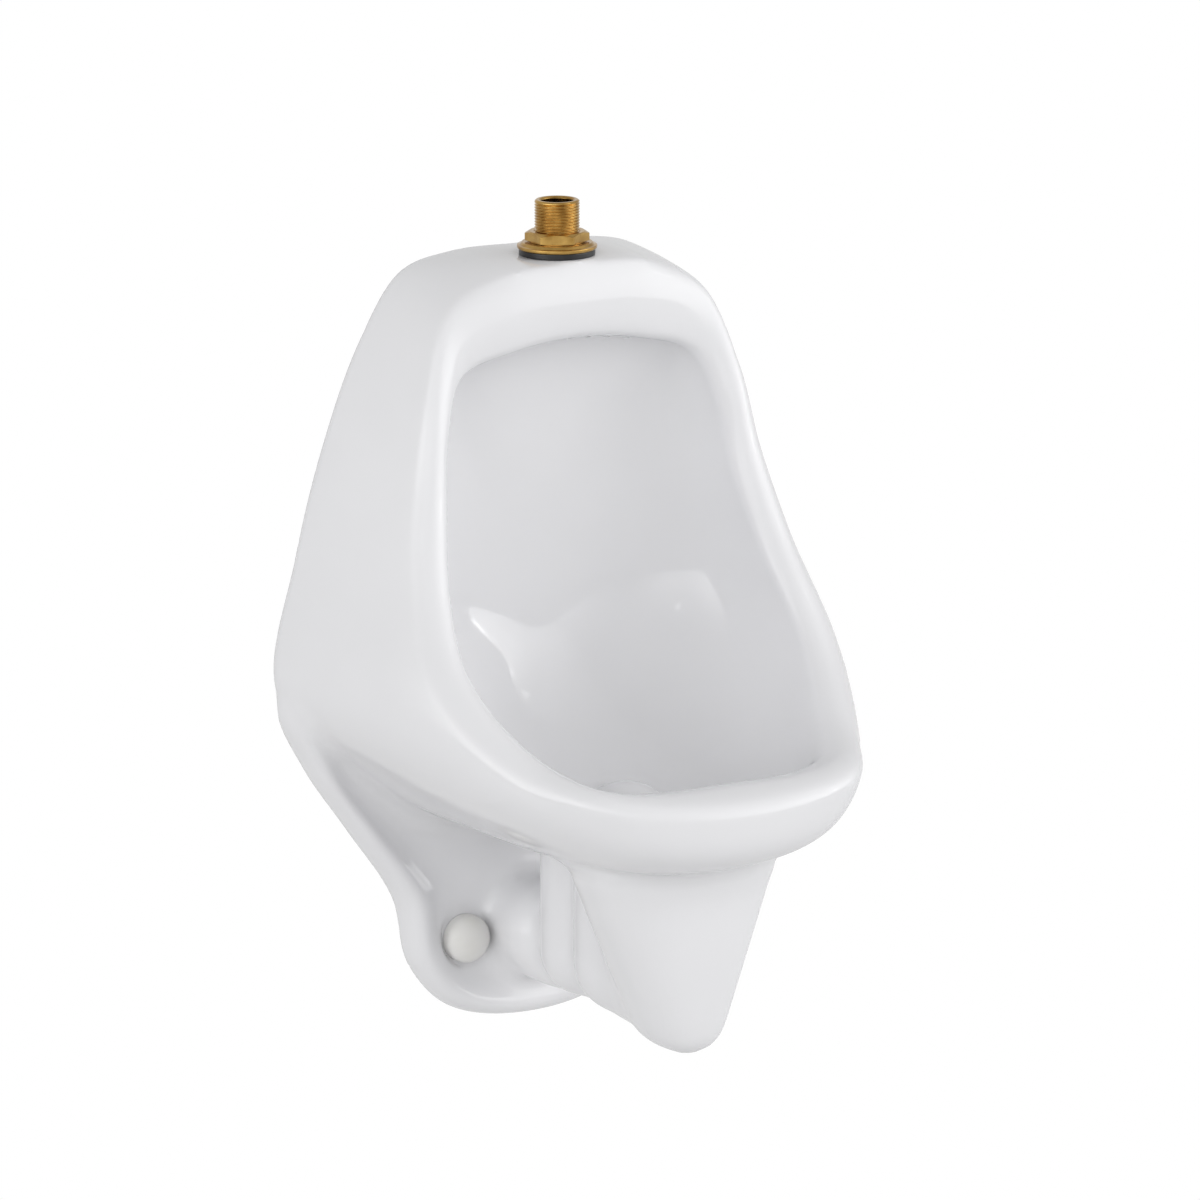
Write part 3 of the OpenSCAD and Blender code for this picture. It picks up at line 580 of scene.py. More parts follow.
# Where two sheets would meet along a single edge, the clay between them is filled in
for turn in range(3):
    for axis in range(3):
        b, c = (axis + 1) % 3, (axis + 2) % 3
        quarter = {}
        for i in (0, 1):
            for j in (0, 1):
                cut = [slice(None)] * 3
                cut[b], cut[c] = slice(i, size[b] - 1 + i), slice(j, size[c] - 1 + j)
                quarter[i, j] = field[tuple(cut)]
        inside = {key: part < 0 for key, part in quarter.items()}
        pinched = ((inside[0, 0] == inside[1, 1]) & (inside[0, 1] == inside[1, 0]) & (inside[0, 0] != inside[0, 1]))
        for part in quarter.values():
            part[pinched] = np.minimum(part[pinched], -0.2)

# The net: one point in each cell that the surface crosses, and one face across each crossed edge
sign = field < 0
corners = [(i, j, k) for i in (0, 1) for j in (0, 1) for k in (0, 1)]
shifted = {c: tuple(slice(c[a], size[a] - 1 + c[a]) for a in range(3)) for c in corners}
count_in = sum(sign[shifted[c]].astype(int) for c in corners)
cells = np.argwhere((count_in > 0) & (count_in < 8))
total, number = np.zeros((len(cells), 3)), np.zeros(len(cells))
for c in corners:
    for axis in range(3):
        if c[axis]:
            continue
        d = tuple(1 if a == axis else c[a] for a in range(3))
        fa, fb = field[tuple((cells + c).T)], field[tuple((cells + d).T)]
        cut = (fa < 0) != (fb < 0)
        share = np.where(cut, fa / np.where(cut, fa - fb, 1), 0)[:, None]
        total += cut[:, None] * (np.array(c) + share * (np.array(d) - np.array(c)))
        number += cut
spots = low_corner + (cells + total / number[:, None]) * net
cell_id = np.full(size, -1)
cell_id[tuple(cells.T)] = np.arange(len(cells))
quads = []
for axis in range(3):
    b, c = (axis + 1) % 3, (axis + 2) % 3
    here = [slice(1, size[a] - 1) for a in range(3)]
    there = list(here)
    there[axis] = slice(2, size[axis])
    crossed = np.argwhere(sign[tuple(here)] != sign[tuple(there)]) + 1
    eb, ec = np.eye(3, dtype=int)[b], np.eye(3, dtype=int)[c]
    ring = [cell_id[tuple((crossed - s * eb - r * ec).T)] for s, r in ((1, 1), (0, 1), (0, 0), (1, 0))]
    ring = np.stack(ring, -1)
    inside = sign[tuple(crossed.T)]
    quads.append(np.where(inside[:, None], ring, ring[:, ::-1]))
quads = np.concatenate(quads)

# Pulled onto the blended surface, evened out along it and pulled on again
edge_a = np.concatenate([quads[:, i] for i in range(4)])
edge_b = np.concatenate([quads[:, (i + 1) % 4] for i in range(4)])
links = np.bincount(edge_a, minlength=len(spots)) + np.bincount(edge_b, minlength=len(spots))
for turn in range(3):
    value, way = casting(spots, near_skins(spots))
    way /= length(way) + 1e-9
    spots = spots - np.clip(value, -net, net)[:, None] * way
    if turn < 2:
        mean = np.stack([np.bincount(edge_a, spots[edge_b, i], len(spots))
                         + np.bincount(edge_b, spots[edge_a, i], len(spots)) for i in range(3)], -1) / links[:, None]
        drift = (mean - spots) * 0.6
        spots = spots + drift - (drift * way).sum(-1, keepdims=True) * way

# The evening shifts the widest and the foremost points by a hair, so the width and the lip are set again
lip_from = 300
lip_front = 355.4
spots[:, 0] *= body_w / 2 / np.abs(spots[:, 0]).max()
lip = spots[:, 1] < -lip_from
spots[lip, 1] = -lip_from + (spots[lip, 1] + lip_from) * (lip_front - lip_from) / (-lip_from - spots[:, 1].min())
millimetre = 0.001


def mesh_of(name, points, faces, smooth=True):
    """Mesh object at the origin from points in millimetres."""
    mesh = bpy.data.meshes.new(name)
    mesh.from_pydata((np.asarray(points, float) * millimetre).tolist(), [], np.asarray(faces).tolist()
                     if isinstance(faces, np.ndarray) else faces)
    mesh.validate()
    mesh.shade_smooth() if smooth else mesh.shade_flat()
    made = bpy.data.objects.new(name, mesh)
    bpy.context.collection.objects.link(made)
    return made


china = mesh_of("glazed_china_body", spots, quads)

# China body: drilled holes
# The holes for the spud, the spray, the strainer, the outlet flange and the bolts are cut in the leather-hard clay.
waste_od = 84
strainer_od = 56
spud_hole = 40
outlet_face = 12
spray_pitch = 18
spray_r = 2.5
bolt_hole_r = 5


def prism_faces(n):
    """Faces of a prism between two outlines of n points."""
    sides = [[j, (j + 1) % n, n + (j + 1) % n, n + j] for j in range(n)]
    return sides + [list(range(n))[::-1], list(range(n, 2 * n))]


def plug(place, axis, r, far, steps=64):
    """Cylinder that runs far along an axis from its place."""
    axis = Vector(axis)
    side = axis.orthogonal().normalized()
    other = axis.cross(side)
    a = evenly(steps, 2 * math.pi)
    ring = np.array(place) + r * (np.cos(a)[:, None] * np.array(side) + np.sin(a)[:, None] * np.array(other))
    return np.concatenate([ring, ring + far * np.array(axis)]), prism_faces(steps)


cuts = [plug((0, -inlet_d, chamber_top - 3), (0, 0, 1), spud_hole / 2, 40),
        plug((0, -drain_d, drain_floor), (0, 0, 1), strainer_od / 2 + 0.3, 34),
        plug((0, 3, 0), (0, -1, 0), waste_od / 2 + 2, outlet_face + 3)]
cuts += [plug((i * spray_pitch, -chamber_d - 21, chamber_top - chamber_h - 36), (0, 0, 1), spray_r, 38, 20)
         for i in range(-3, 4)]
cuts += [plug((side * bolt_pitch / 2, 1, bolt_z), (0, -1, 0), bolt_hole_r, 60) for side in (-1, 1)]


def settled(made):
    """Makes what a piece's modifiers give its plain mesh."""
    result = bpy.data.meshes.new_from_object(made.evaluated_get(bpy.context.evaluated_depsgraph_get()))
    made.modifiers.clear()
    made.data = result


cut_points, cut_faces = [], []
for more_points, more_faces in cuts:
    start = sum(len(p) for p in cut_points)
    cut_points.append(more_points)
    cut_faces += [[start + i for i in face] for face in more_faces]
cutter = mesh_of("drill", np.concatenate(cut_points), cut_faces)
drilling = china.modifiers.new("drilled", "BOOLEAN")
drilling.operation = "DIFFERENCE"
drilling.solver = "MANIFOLD"
drilling.object = cutter
settled(china)
china.data.set_sharp_from_angle(angle=math.radians(38))
bpy.data.objects.remove(cutter)

# China body: glaze
# Vitreous china under a clear glossy glaze: a cool white, a hard gloss with the faint waviness of a sprayed glaze a
# few centimetres long, and the finest orange peel, one to two millimetres across.


def linear(hex_colour):
    """Linear colour from an sRGB hex value."""
    parts = [int(hex_colour[i:i + 2], 16) / 255 for i in (1, 3, 5)]
    return tuple(p / 12.92 if p <= 0.04045 else ((p + 0.055) / 1.055) ** 2.4 for p in parts) + (1.0,)


def node(tree, kind, settings=(), sockets=(), **values):
    """One node with its settings, and a link or a value for each socket, named or numbered."""
    made = tree.nodes.new(kind)
    for key, value in dict(settings).items():
        setattr(made, key, value)
    for key, value in {**{name.replace("_", " "): value for name, value in values.items()}, **dict(sockets)}.items():
        if isinstance(value, bpy.types.NodeSocket):
            tree.links.new(value, made.inputs[key])
        else:
            made.inputs[key].default_value = value
    return made


def emptied(made):
    """The node tree of a new material or world, with nothing in it."""
    made.use_nodes = True
    made.node_tree.nodes.clear()
    return made.node_tree


def new_material(name):
    """New material, its node tree and the place on the object in metres."""
    made = bpy.data.materials.new(name)
    tree = emptied(made)
    return made, tree, node(tree, "ShaderNodeTexCoord").outputs["Object"]


def surfaced(tree, stain, dark, light, height, strength, distance, low=0.3, high=0.7, under=None, polish=None,
             **values):
    """Ends a material. Its colour runs from dark to light with the stain between low and high, its bump follows the
    height over the one under it, and its roughness is a value or runs with polish: (pattern, least, most)."""
    ramp = node(tree, "ShaderNodeValToRGB", Fac=stain)
    for element, position, colour in zip(ramp.color_ramp.elements, (low, high), (dark, light)):
        element.position, element.color = position, linear(colour)
    bump = node(tree, "ShaderNodeBump", Height=height, Strength=strength, Distance=distance)
    if under:
        tree.links.new(under, bump.inputs["Normal"])
    if polish:
        values["Roughness"] = node(tree, "ShaderNodeMapRange", Value=polish[0], From_Min=0.3, From_Max=0.7,
                                   To_Min=polish[1], To_Max=polish[2]).outputs["Result"]
    shader = node(tree, "ShaderNodeBsdfPrincipled", Base_Color=ramp.outputs["Color"], Normal=bump.outputs["Normal"],
                  **values)
    node(tree, "ShaderNodeOutputMaterial", Surface=shader.outputs[0])


glaze, tree, where = new_material("vitreous_china_glaze")
waviness = node(tree, "ShaderNodeTexNoise", Vector=where, Scale=1 / 0.045, Detail=1.5, Roughness=0.4).outputs["Fac"]
wave_bump = node(tree, "ShaderNodeBump", Height=waviness, Strength=0.22, Distance=0.00035).outputs["Normal"]
peel = node(tree, "ShaderNodeTexNoise", Vector=where, Scale=1 / 0.0016, Detail=1.0, Roughness=0.5).outputs["Fac"]
pooling = node(tree, "ShaderNodeTexNoise", Vector=where, Scale=1 / 0.12, Detail=2.0, Roughness=0.5).outputs["Fac"]
surfaced(tree, pooling, "#dddddf", "#e0e0e2", peel, 0.05, 0.00004, under=wave_bump, polish=(waviness, 0.055, 0.085),
         IOR=1.52)
china.data.materials.clear()
china.data.materials.append(glaze)
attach(china, "root")
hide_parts("china_body")

# Brass spud
# A machined brass tube that water enters by, with a 2.3 mm pipe thread outside, a chamfered mouth and a head inside
# the chamber that pulls up the gasket.
spud_od = 36.5
spud_bore = 27
spud_top = seat_z + 45
washer_t = 5
ring_t = 5.5
nut_h = 9
washer_top = seat_z + washer_t
ring_top = washer_top + ring_t
nut_top = ring_top + nut_h
shank_r = spud_od / 2 + 0.2
thread_pitch = 2.3
thread_depth = 1.15
columns = 144
round_angles = evenly(columns, 2 * math.pi)
up_inlet = ((0, -inlet_d, 0), (0, 0, 1))


def eased(outline, soft, steps=3):
    """Closed outline with its corners rounded, and a point beside each rounding that keeps the flats flat."""
    outline, made = np.array(outline, float), []
    for i in range(len(outline)):
        a, b, c = outline[i - 1], outline[i], outline[(i + 1) % len(outline)]
        to_a, to_c = np.linalg.norm(a - b), np.linalg.norm(c - b)
        if to_a < 1e-6 or to_c < 1e-6 or b[0] < 1e-6:
            made.append(b)
            continue
        r = min(soft, to_a * 0.4, to_c * 0.4)
        u, v = (a - b) / to_a, (c - b) / to_c
        made += [b + u * r * 1.2] + [b + u * r * (1 - f) ** 2 + v * r * f * f for f in np.linspace(0, 1, steps + 1)]
        made.append(b + v * r * 1.2)
    return np.array(made)


def cleaned(made, sharp=32):
    """Merges doubled points, turns the faces outward and keeps edges over the sharp angle crisp."""
    work = bmesh.new()
    work.from_mesh(made.data)
    bmesh.ops.remove_doubles(work, verts=work.verts, dist=2e-6)
    bmesh.ops.dissolve_degenerate(work, edges=work.edges, dist=1e-6)
    bmesh.ops.recalc_face_normals(work, faces=work.faces)
    work.to_mesh(made.data)
    work.free()
    made.data.shade_smooth()
    made.data.set_sharp_from_angle(angle=math.radians(sharp))
    return made


def rings_about(name, rings, place, axis, sharp=32, count=columns):
    """Piece made of rings about an axis, each a radius and a height, given as one number or column by column."""
    axis = np.array(axis, float)
    side = np.array([1.0, 0, 0])
    other = np.cross(axis, side)
    rings = [np.broadcast_arrays(radius, height, np.ones((1, count)))[:2] for radius, height in rings]
    radius, height = (np.concatenate(part) for part in zip(*rings))
    a = evenly(count, 2 * math.pi)
    around = np.cos(a)[:, None] * side + np.sin(a)[:, None] * other
    points = np.array(place, float) + radius[..., None] * around + height[..., None] * axis
    rows = len(radius)
    i, j = np.meshgrid(np.arange(rows), np.arange(count), indexing="ij")
    ring = lambda i, j: ((i % rows) * count + j % count).ravel()
    faces = np.stack([ring(i, j), ring(i, j + 1), ring(i + 1, j + 1), ring(i + 1, j)], -1)
    return cleaned(mesh_of(name, points.reshape(-1, 3), faces), sharp)


def turned(name, outline, place, axis, soft=0.4, count=columns):
    """Piece turned from a closed outline of [radius, distance along the axis]."""
    return rings_about(name, eased(outline, soft), place, axis, count=count)


def screw(height, angles, low, high, r, pitch, depth):
    """Radius of a screw thread that fades in over its first half turn and out over its last."""
    wave = np.abs(((height / pitch - angles / (2 * math.pi)) % 1) * 2 - 1)
    groove = np.clip(wave * 1.25 - 0.12, 0, 1)
    fade = np.clip((height - low) / pitch, 0, 1) * np.clip((high - height) / pitch, 0, 1)
    return r - depth * (groove * groove * (3 - 2 * groove)) * fade


spud_low = chamber_top - 18
head_r = spud_od / 2 + 5.5
before = eased([[spud_bore / 2, spud_top - 1.2], [spud_bore / 2, spud_low], [head_r, spud_low],
                [head_r, spud_low + 6], [shank_r, spud_low + 6], [shank_r, nut_top - 0.3]], 0.5)[3:-4]
after = eased([[spud_od / 2, spud_top - 1.1], [spud_od / 2 - 1.4, spud_top], [spud_bore / 2 + 1.2, spud_top],
               [spud_bore / 2, spud_top - 1.2]], 0.25)[6:]
turns_low, turns_high = nut_top - 0.3, spud_top - 1.1
heights = np.linspace(turns_low, turns_high, int((turns_high - turns_low) / thread_pitch * 12))[:, None]
barrel = screw(heights, round_angles, turns_low - 2, turns_high + 0.4, spud_od / 2, thread_pitch, thread_depth)
inlet = rings_about("brass_spud_threaded", [*before, (barrel, heights), *after], *up_inlet, sharp=50)


def fitted(made, material, body, replaced):
    """Gives a finished piece its material and its body, and hides the CAD node that it stands for."""
    made.data.materials.clear()
    made.data.materials.append(material)
    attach(made, body)
    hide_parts(replaced)


# Machined brass: a yellow metal shine, clouded every 12 mm. The tool marks are drawn 0.7 mm apart, coarser than real
# ones, so that they show.
brass, tree, where = new_material("machined_brass")
cloud = node(tree, "ShaderNodeTexNoise", Vector=where, Scale=1 / 0.012, Detail=2.0, Roughness=0.5).outputs["Fac"]
grain = node(tree, "ShaderNodeTexNoise", Vector=where, Scale=1 / 0.0007, Detail=3.0, Roughness=0.6).outputs["Fac"]
surfaced(tree, cloud, "#a88244", "#c9a45f", grain, 0.35, 0.00006, polish=(cloud, 0.12, 0.2), Metallic=1.0)
fitted(inlet, brass, "root", "inlet_spud")

# Brass locknut
# A hexagon nut, 46 mm across its flats, that clamps the china. Its top edge is turned to a chamfer that meets each
# flat in an arc, and a round face under it bears on the ring.
nut_af = 46
nut_turn = math.radians(28)
nut_chamfer = math.radians(28)


def hexagon(angles, af, turn):
    """How far a hexagon bar reaches at each angle, its sharp edges just broken."""
    reach_at = af / 2 / np.cos((angles - turn) % (math.pi / 3) - math.pi / 6)
    return np.minimum(reach_at, af / math.sqrt(3) - 0.35)


def hexagon_nut(name, af, bore, low, face, high, place, axis, turn, both=False):
    """Nut with a round face of the given height under it, and a chamfered top."""
    reach_at = hexagon(round_angles, af, turn)
    crest = np.minimum(af / 2 - 0.6, reach_at)
    fall = (reach_at - crest) * math.tan(nut_chamfer) + 0.15
    rings = [(bore, high - 0.7), (bore, low + 0.6), (bore + 0.6, low), (af / 2 - 0.9, low), (af / 2 - 0.4, low + 0.3)]
    if both:
        rings += [(crest, low + 0.3), (reach_at, low + 0.3 + fall)]
    else:
        rings += [(af / 2 - 0.4, low + face), (reach_at - 0.2, low + face), (reach_at, low + face + 0.2)]
    rings += [(reach_at, low + face + 0.7), (reach_at, high - fall - 0.4), (reach_at, high - fall),
              (crest, high - 0.08), (crest - 0.12, high), (crest - 0.6, high), (bore + 0.9, high), (bore + 0.7, high)]
    return rings_about(name, rings, place, axis, 25)


locknut = hexagon_nut("brass_locknut", nut_af, shank_r + 0.05, ring_top, 1, nut_top, *up_inlet, nut_turn)
fitted(locknut, brass, "root", "spud_locknut")

# Brass friction ring and rubber washer
# The ring is turned brass with a low step and a bevel down to its rim, and spreads the nut's load. The washer under
# it is glossy moulded rubber that seals on the glaze.
ring_r = 32.5
step_z = washer_top + ring_t * 0.55
friction = turned("brass_friction_ring", [[shank_r + 0.3, washer_top], [ring_r - 1, washer_top],
                                          [ring_r, washer_top + 1], [ring_r, step_z], [ring_r - 2, step_z + 0.5],
                                          [ring_r - 4, ring_top], [shank_r + 0.3, ring_top]], *up_inlet, 0.35)
fitted(friction, brass, "root", "spud_friction_ring")


def oblong(inner, outer, low, high):
    """Outline with four square corners."""
    return [[inner, low], [outer, low], [outer, high], [inner, high]]


# Moulded rubber: near black with a soft sheen. Its skin is drawn 0.9 mm across, coarser than real, so that it shows.
rubber, tree, where = new_material("moulded_black_rubber")
bloom = node(tree, "ShaderNodeTexNoise", Vector=where, Scale=1 / 0.006, Detail=3.0, Roughness=0.55).outputs["Fac"]
skin = node(tree, "ShaderNodeTexNoise", Vector=where, Scale=1 / 0.0009, Detail=2.0, Roughness=0.5).outputs["Fac"]
surfaced(tree, bloom, "#0b0b0d", "#141416", skin, 0.25, 0.00005, 0.35, 0.75, Roughness=0.32)
washer = turned("rubber_washer", oblong(shank_r + 0.3, washer_r, seat_z, washer_top), *up_inlet, 0.9)
fitted(washer, rubber, "root", "spud_washer")

# Tapered gasket inside the chamber
# Moulded rubber that the spud's head draws up into the china's hole, so that the joint is sealed from below.
gasket_r = spud_hole / 2
gasket_low = chamber_top - 12
gasket = turned("rubber_tapered_gasket", [[shank_r + 0.05, gasket_low], [gasket_r + 3, gasket_low],
                                          [gasket_r + 2, chamber_top], [gasket_r - 0.05, chamber_top],
                                          [gasket_r - 0.05, seat_z - 3], [shank_r + 0.05, seat_z - 3]], *up_inlet, 0.5)
fitted(gasket, rubber, "root", "spud_gasket")

# Cast flange and its gasket
# A grey iron casting on the wall, left rough as cast, with an ear for each bolt and a threaded outlet for the drain
# pipe. A rubber ring between it and the china seals the outlet.
flange_t = 6
hub_r = 33.2
waste_bore = 57.4
bolt_r = 4
bolt_af = 13
out_of_wall = (0, -1, 0)
bolt_places = [(side * bolt_pitch / 2, 0, bolt_z) for side in (-1, 1)]
few = 48
few_angles = evenly(few, 2 * math.pi)


def extruded(name, outline, low, high, axis, soft=0.0):
    """Prism from a closed outline. The axis is 0 for a run across (outline [depth, up]) and 1 for a run out."""
    outline = np.array(outline, float)
    rows = []
    for at in (low, high):
        a, b = outline[:, 0], outline[:, 1]
        flat = a * 0 + at
        rows.append(np.stack([flat, -a, b] if axis == 0 else [a, -flat, b], -1))
    made = cleaned(mesh_of(name, np.concatenate(rows), prism_faces(len(outline))))
    if soft:
        work = bmesh.new()
        work.from_mesh(made.data)
        rims = [edge for edge in work.edges if edge.calc_face_angle(0) > math.radians(40)]
        bmesh.ops.bevel(work, geom=rims, offset=soft * millimetre, segments=2, profile=0.5, affect="EDGES")
        work.to_mesh(made.data)
        work.free()
        cleaned(made)
    return made


def carved(made, others, operation="DIFFERENCE", sharp=32):
    """Joins pieces to a piece, or cuts them out of it, and leaves one plain mesh."""
    for other in others:
        change = made.modifiers.new("change", "BOOLEAN")
        change.operation = operation
        change.solver = "MANIFOLD"
        change.object = other
    settled(made)
    for other in others:
        bpy.data.objects.remove(other)
    return cleaned(made, sharp)


flange = turned("cast_iron_flange", [[waste_bore / 2 - 4, 0], [waste_od / 2, 0], [waste_od / 2, flange_t],
                                     [hub_r + 1.5, flange_t], [hub_r, flange_t + 1.5], [hub_r, outlet_face - 1],
                                     [waste_bore / 2 - 4, outlet_face - 1]], (0, 0, 0), out_of_wall, 0.8)
ears = []
ear_pad = 12
arc = np.linspace(-math.pi / 2, math.pi / 2, 25)
for side in (-1, 1):
    tip = [[side * (bolt_pitch / 2 + ear_pad * math.cos(f)), bolt_z + ear_pad * math.sin(f)] for f in arc]
    ears.append(extruded("ear", tip + [[0, bolt_z + ear_pad], [0, bolt_z - ear_pad]], 0, flange_t, 1, 0.8))
flange = carved(flange, ears, "UNION")
pipe_pitch = 1.8
pipe_depth = 0.7
along_hub = np.linspace(-2, outlet_face + 1, int((outlet_face + 3) / pipe_pitch * 10))[:, None]
thread_cut = screw(along_hub, round_angles, -9, 30, waste_bore / 2 + pipe_depth, pipe_pitch, pipe_depth)
tools = [rings_about("bore", [(0, -2), (thread_cut, along_hub), (0, outlet_face + 1)], (0, 0, 0), out_of_wall)]
pocket = hexagon(few_angles, bolt_af + 0.5, 0)
for place in bolt_places:
    tools.append(turned("hole", oblong(0, bolt_r + 0.05, -2, 9), place, out_of_wall, 0, few))
    tools.append(rings_about("pocket", [(0, -2), (pocket, -2), (pocket, 3), (0, 3)], place, out_of_wall, count=few))
flange = carved(flange, tools)

# Cast iron: a dull dark grey. Its grains are drawn 1.4 mm across, coarser than moulding sand, so that they show.
iron, tree, where = new_material("rough_cast_iron")
skin = node(tree, "ShaderNodeTexNoise", Vector=where, Scale=1 / 0.018, Detail=3.0, Roughness=0.55).outputs["Fac"]
sand = node(tree, "ShaderNodeTexNoise", Vector=where, Scale=1 / 0.0014, Detail=4.0, Roughness=0.6).outputs["Fac"]
surfaced(tree, skin, "#4c4d4e", "#66676a", sand, 0.7, 0.00035, 0.3, 0.75, Roughness=0.6, Metallic=0.5)
fitted(flange, iron, "root", "waste_flange")
seal = turned("rubber_outlet_gasket", oblong(hub_r + 0.05, waste_od / 2, flange_t, outlet_face), (0, 0, 0),
              out_of_wall, 0.7)
fitted(seal, rubber, "root", "waste_gasket")

# Flange bolts, washers and nuts
# Two brass bolts stand out of the flange through the plate, each with a rolled thread, a flat washer and a nut.
washer_face = plate_t + 2
nut_face = washer_face + 1.5
nut_end = nut_face + 6.5
bolt_end = nut_end + 3


def as_one(name, pieces):
    """One object that holds the meshes of several."""
    work = bmesh.new()
    for piece in pieces:
        work.from_mesh(piece.data)
        bpy.data.objects.remove(piece)
    mesh = bpy.data.meshes.new(name)
    work.to_mesh(mesh)
    work.free()
    made = bpy.data.objects.new(name, mesh)
    bpy.context.collection.objects.link(made)
    mesh.shade_smooth()
    mesh.set_sharp_from_angle(angle=math.radians(30))
    return made


bolt_thread_pitch = 1.25
bolt_thread_depth = 0.62
bolts, plates, nuts = [], [], []
for place in bolt_places:
    at = np.linspace(flange_t, bolt_end - 0.8, 200)[:, None]
    shaft = screw(at, few_angles, flange_t, bolt_end + 2, bolt_r, bolt_thread_pitch, bolt_thread_depth)
    head = hexagon(few_angles, bolt_af, 0)
    bolts.append(rings_about("bolt", [(0, 0), (head - 0.5, 0), (head, 0.4), (head, 2.7), (head - 0.4, 3), (bolt_r, 3),
                                      (shaft, at), (bolt_r - 0.9, bolt_end), (0, bolt_end)],
                             place, out_of_wall, 25, few))
    plates.append(turned("washer", oblong(bolt_r + 0.3, 10, washer_face, nut_face), place, out_of_wall, 0.25, 64))
    nuts.append(hexagon_nut("nut", bolt_af, bolt_r + 0.05, nut_face, 0.3, nut_end, place, out_of_wall, 0, True))
fitted(as_one("brass_flange_bolts", bolts), brass, "root", "flange_bolts")
fitted(as_one("brass_bolt_washers", plates), brass, "root", "bolt_washers")
fitted(as_one("brass_bolt_nuts", nuts), brass, "root", "bolt_nuts")

# Bolt caps and their snap bases
# The caps are domed, injection moulded in white ABS with a soft gloss, and snap over a shallow base that each washer
# holds down. They pull straight off.
cap_t = 2.2
cap_low = plate_t + 0.3
cap_skirt = 6
cap_top = plate_t + 19
base_r = cap_od / 2 - cap_t - 0.3

# Moulded ABS: an even white with faint flow marks 20 mm long. Its matt grain is drawn 0.7 mm across, coarser than
# real, so that it shows.
plastic, tree, where = new_material("moulded_white_abs")
flow = node(tree, "ShaderNodeTexNoise", Vector=where, Scale=1 / 0.02, Detail=2.0, Roughness=0.45).outputs["Fac"]
flow_bump = node(tree, "ShaderNodeBump", Height=flow, Strength=0.2, Distance=0.0002).outputs["Normal"]
matt = node(tree, "ShaderNodeTexNoise", Vector=where, Scale=1 / 0.0007, Detail=1.0, Roughness=0.5).outputs["Fac"]
surfaced(tree, flow, "#dad9d5", "#dedddb", matt, 0.15, 0.00002, under=flow_bump, Roughness=0.3)


def dome(r, low, high, steps=20):
    return [[r * math.cos(a), low + (high - low) * math.sin(a)] for a in np.linspace(0, math.pi / 2, steps)]


for place, hand in zip(bolt_places, ("left", "right")):
    base = turned("abs_snap_base_" + hand, [[bolt_r + 0.3, plate_t], [base_r, plate_t], [base_r, plate_t + 5],
                                            [base_r - 1.6, plate_t + 5], [base_r - 1.6, washer_face],
                                            [bolt_r + 0.3, washer_face]], place, out_of_wall, 0.3, 96)
    fitted(base, plastic, "root", "cap_base_" + hand)
    shell = ([[cap_od / 2 - cap_t, cap_low], [cap_od / 2 - 0.5, cap_low], [cap_od / 2, cap_low + 0.5]]
             + dome(cap_od / 2, cap_low + cap_skirt, cap_top)
             + dome(cap_od / 2 - cap_t, cap_low + cap_skirt, cap_top - cap_t)[::-1])
    cap = turned("abs_bolt_cap_" + hand, shell, place, out_of_wall, 0, 96)
    fitted(cap, plastic, hand + "_cap", "bolt_cap_" + hand)

# Wall hangers
# Folded from 4 mm steel strip and zinc plated: a plate screwed to the wall, a shelf, and a hook turned up that holds
# the china's ledge.
hanger_w = 44
hanger_t = 4
hook_in = 14
shelf_z = ledge_z - 0.3


def strip(path, r, t, steps=6):
    """Outline of a folded strip: its inner side follows the path, its bends are rounded."""
    path = np.array(path, float)
    bent = [path[0]]
    for i in range(1, len(path) - 1):
        u, v = path[i - 1] - path[i], path[i + 1] - path[i]
        u, v = u / np.linalg.norm(u), v / np.linalg.norm(v)
        centre = path[i] + (u + v) * r
        for f in np.linspace(0, math.pi / 2, steps):
            bent.append(centre - v * r * math.cos(f) - u * r * math.sin(f))
    bent = np.array(bent + [path[-1]])
    run = np.gradient(bent, axis=0)
    run /= np.linalg.norm(run, axis=1, keepdims=True)
    side_way = np.stack([-run[:, 1], run[:, 0]], -1)
    return np.concatenate([bent - side_way * t / 2, (bent + side_way * t / 2)[::-1]])


# Zinc plate: a cool grey metal with spangles of 4 mm, clouded every 10 mm.
zinc, tree, where = new_material("zinc_plated_steel")
spangle = node(tree, "ShaderNodeTexVoronoi", Vector=where, Scale=1 / 0.004).outputs["Distance"]
cloud = node(tree, "ShaderNodeTexNoise", Vector=where, Scale=1 / 0.01, Detail=3.0, Roughness=0.6).outputs["Fac"]
frost = node(tree, "ShaderNodeMath", {"operation": "MULTIPLY"}, {0: spangle, 1: cloud}).outputs[0]
surfaced(tree, frost, "#a6a9ad", "#c3c6c9", cloud, 0.2, 0.0001, 0.05, 0.5, polish=(cloud, 0.3, 0.45), Metallic=1.0)
middle_d = hook_in + hanger_t / 2
side_profile = strip([[middle_d, shelf_z + 6], [middle_d, shelf_z - hanger_t / 2],
                      [hanger_t / 2, shelf_z - hanger_t / 2]], 3, hanger_t)
for side, hand in ((-1, "left"), (1, "right")):
    x = side * hanger_pitch / 2
    back_plate = extruded("zinc_hanger_" + hand, oblong(0, hanger_t, ledge_z - 50, ledge_z + 44),
                          x - hanger_w / 2, x + hanger_w / 2, 0, 0.6)
    hook = extruded("hook", side_profile, x - hanger_w / 2, x + hanger_w / 2, 0, 0.6)
    hanger = carved(back_plate, [hook], "UNION")
    holes = [turned("hole", [[0, -1], [3.5, -1], [3.5, 2.6], [4.9, 4.01], [4.9, 6], [0, 6]],
                    (x, 0, ledge_z + up), out_of_wall, 0, few) for up in (-37, 33)]
    hanger = carved(hanger, holes)
    fitted(hanger, zinc, "root", "hanger_" + hand)

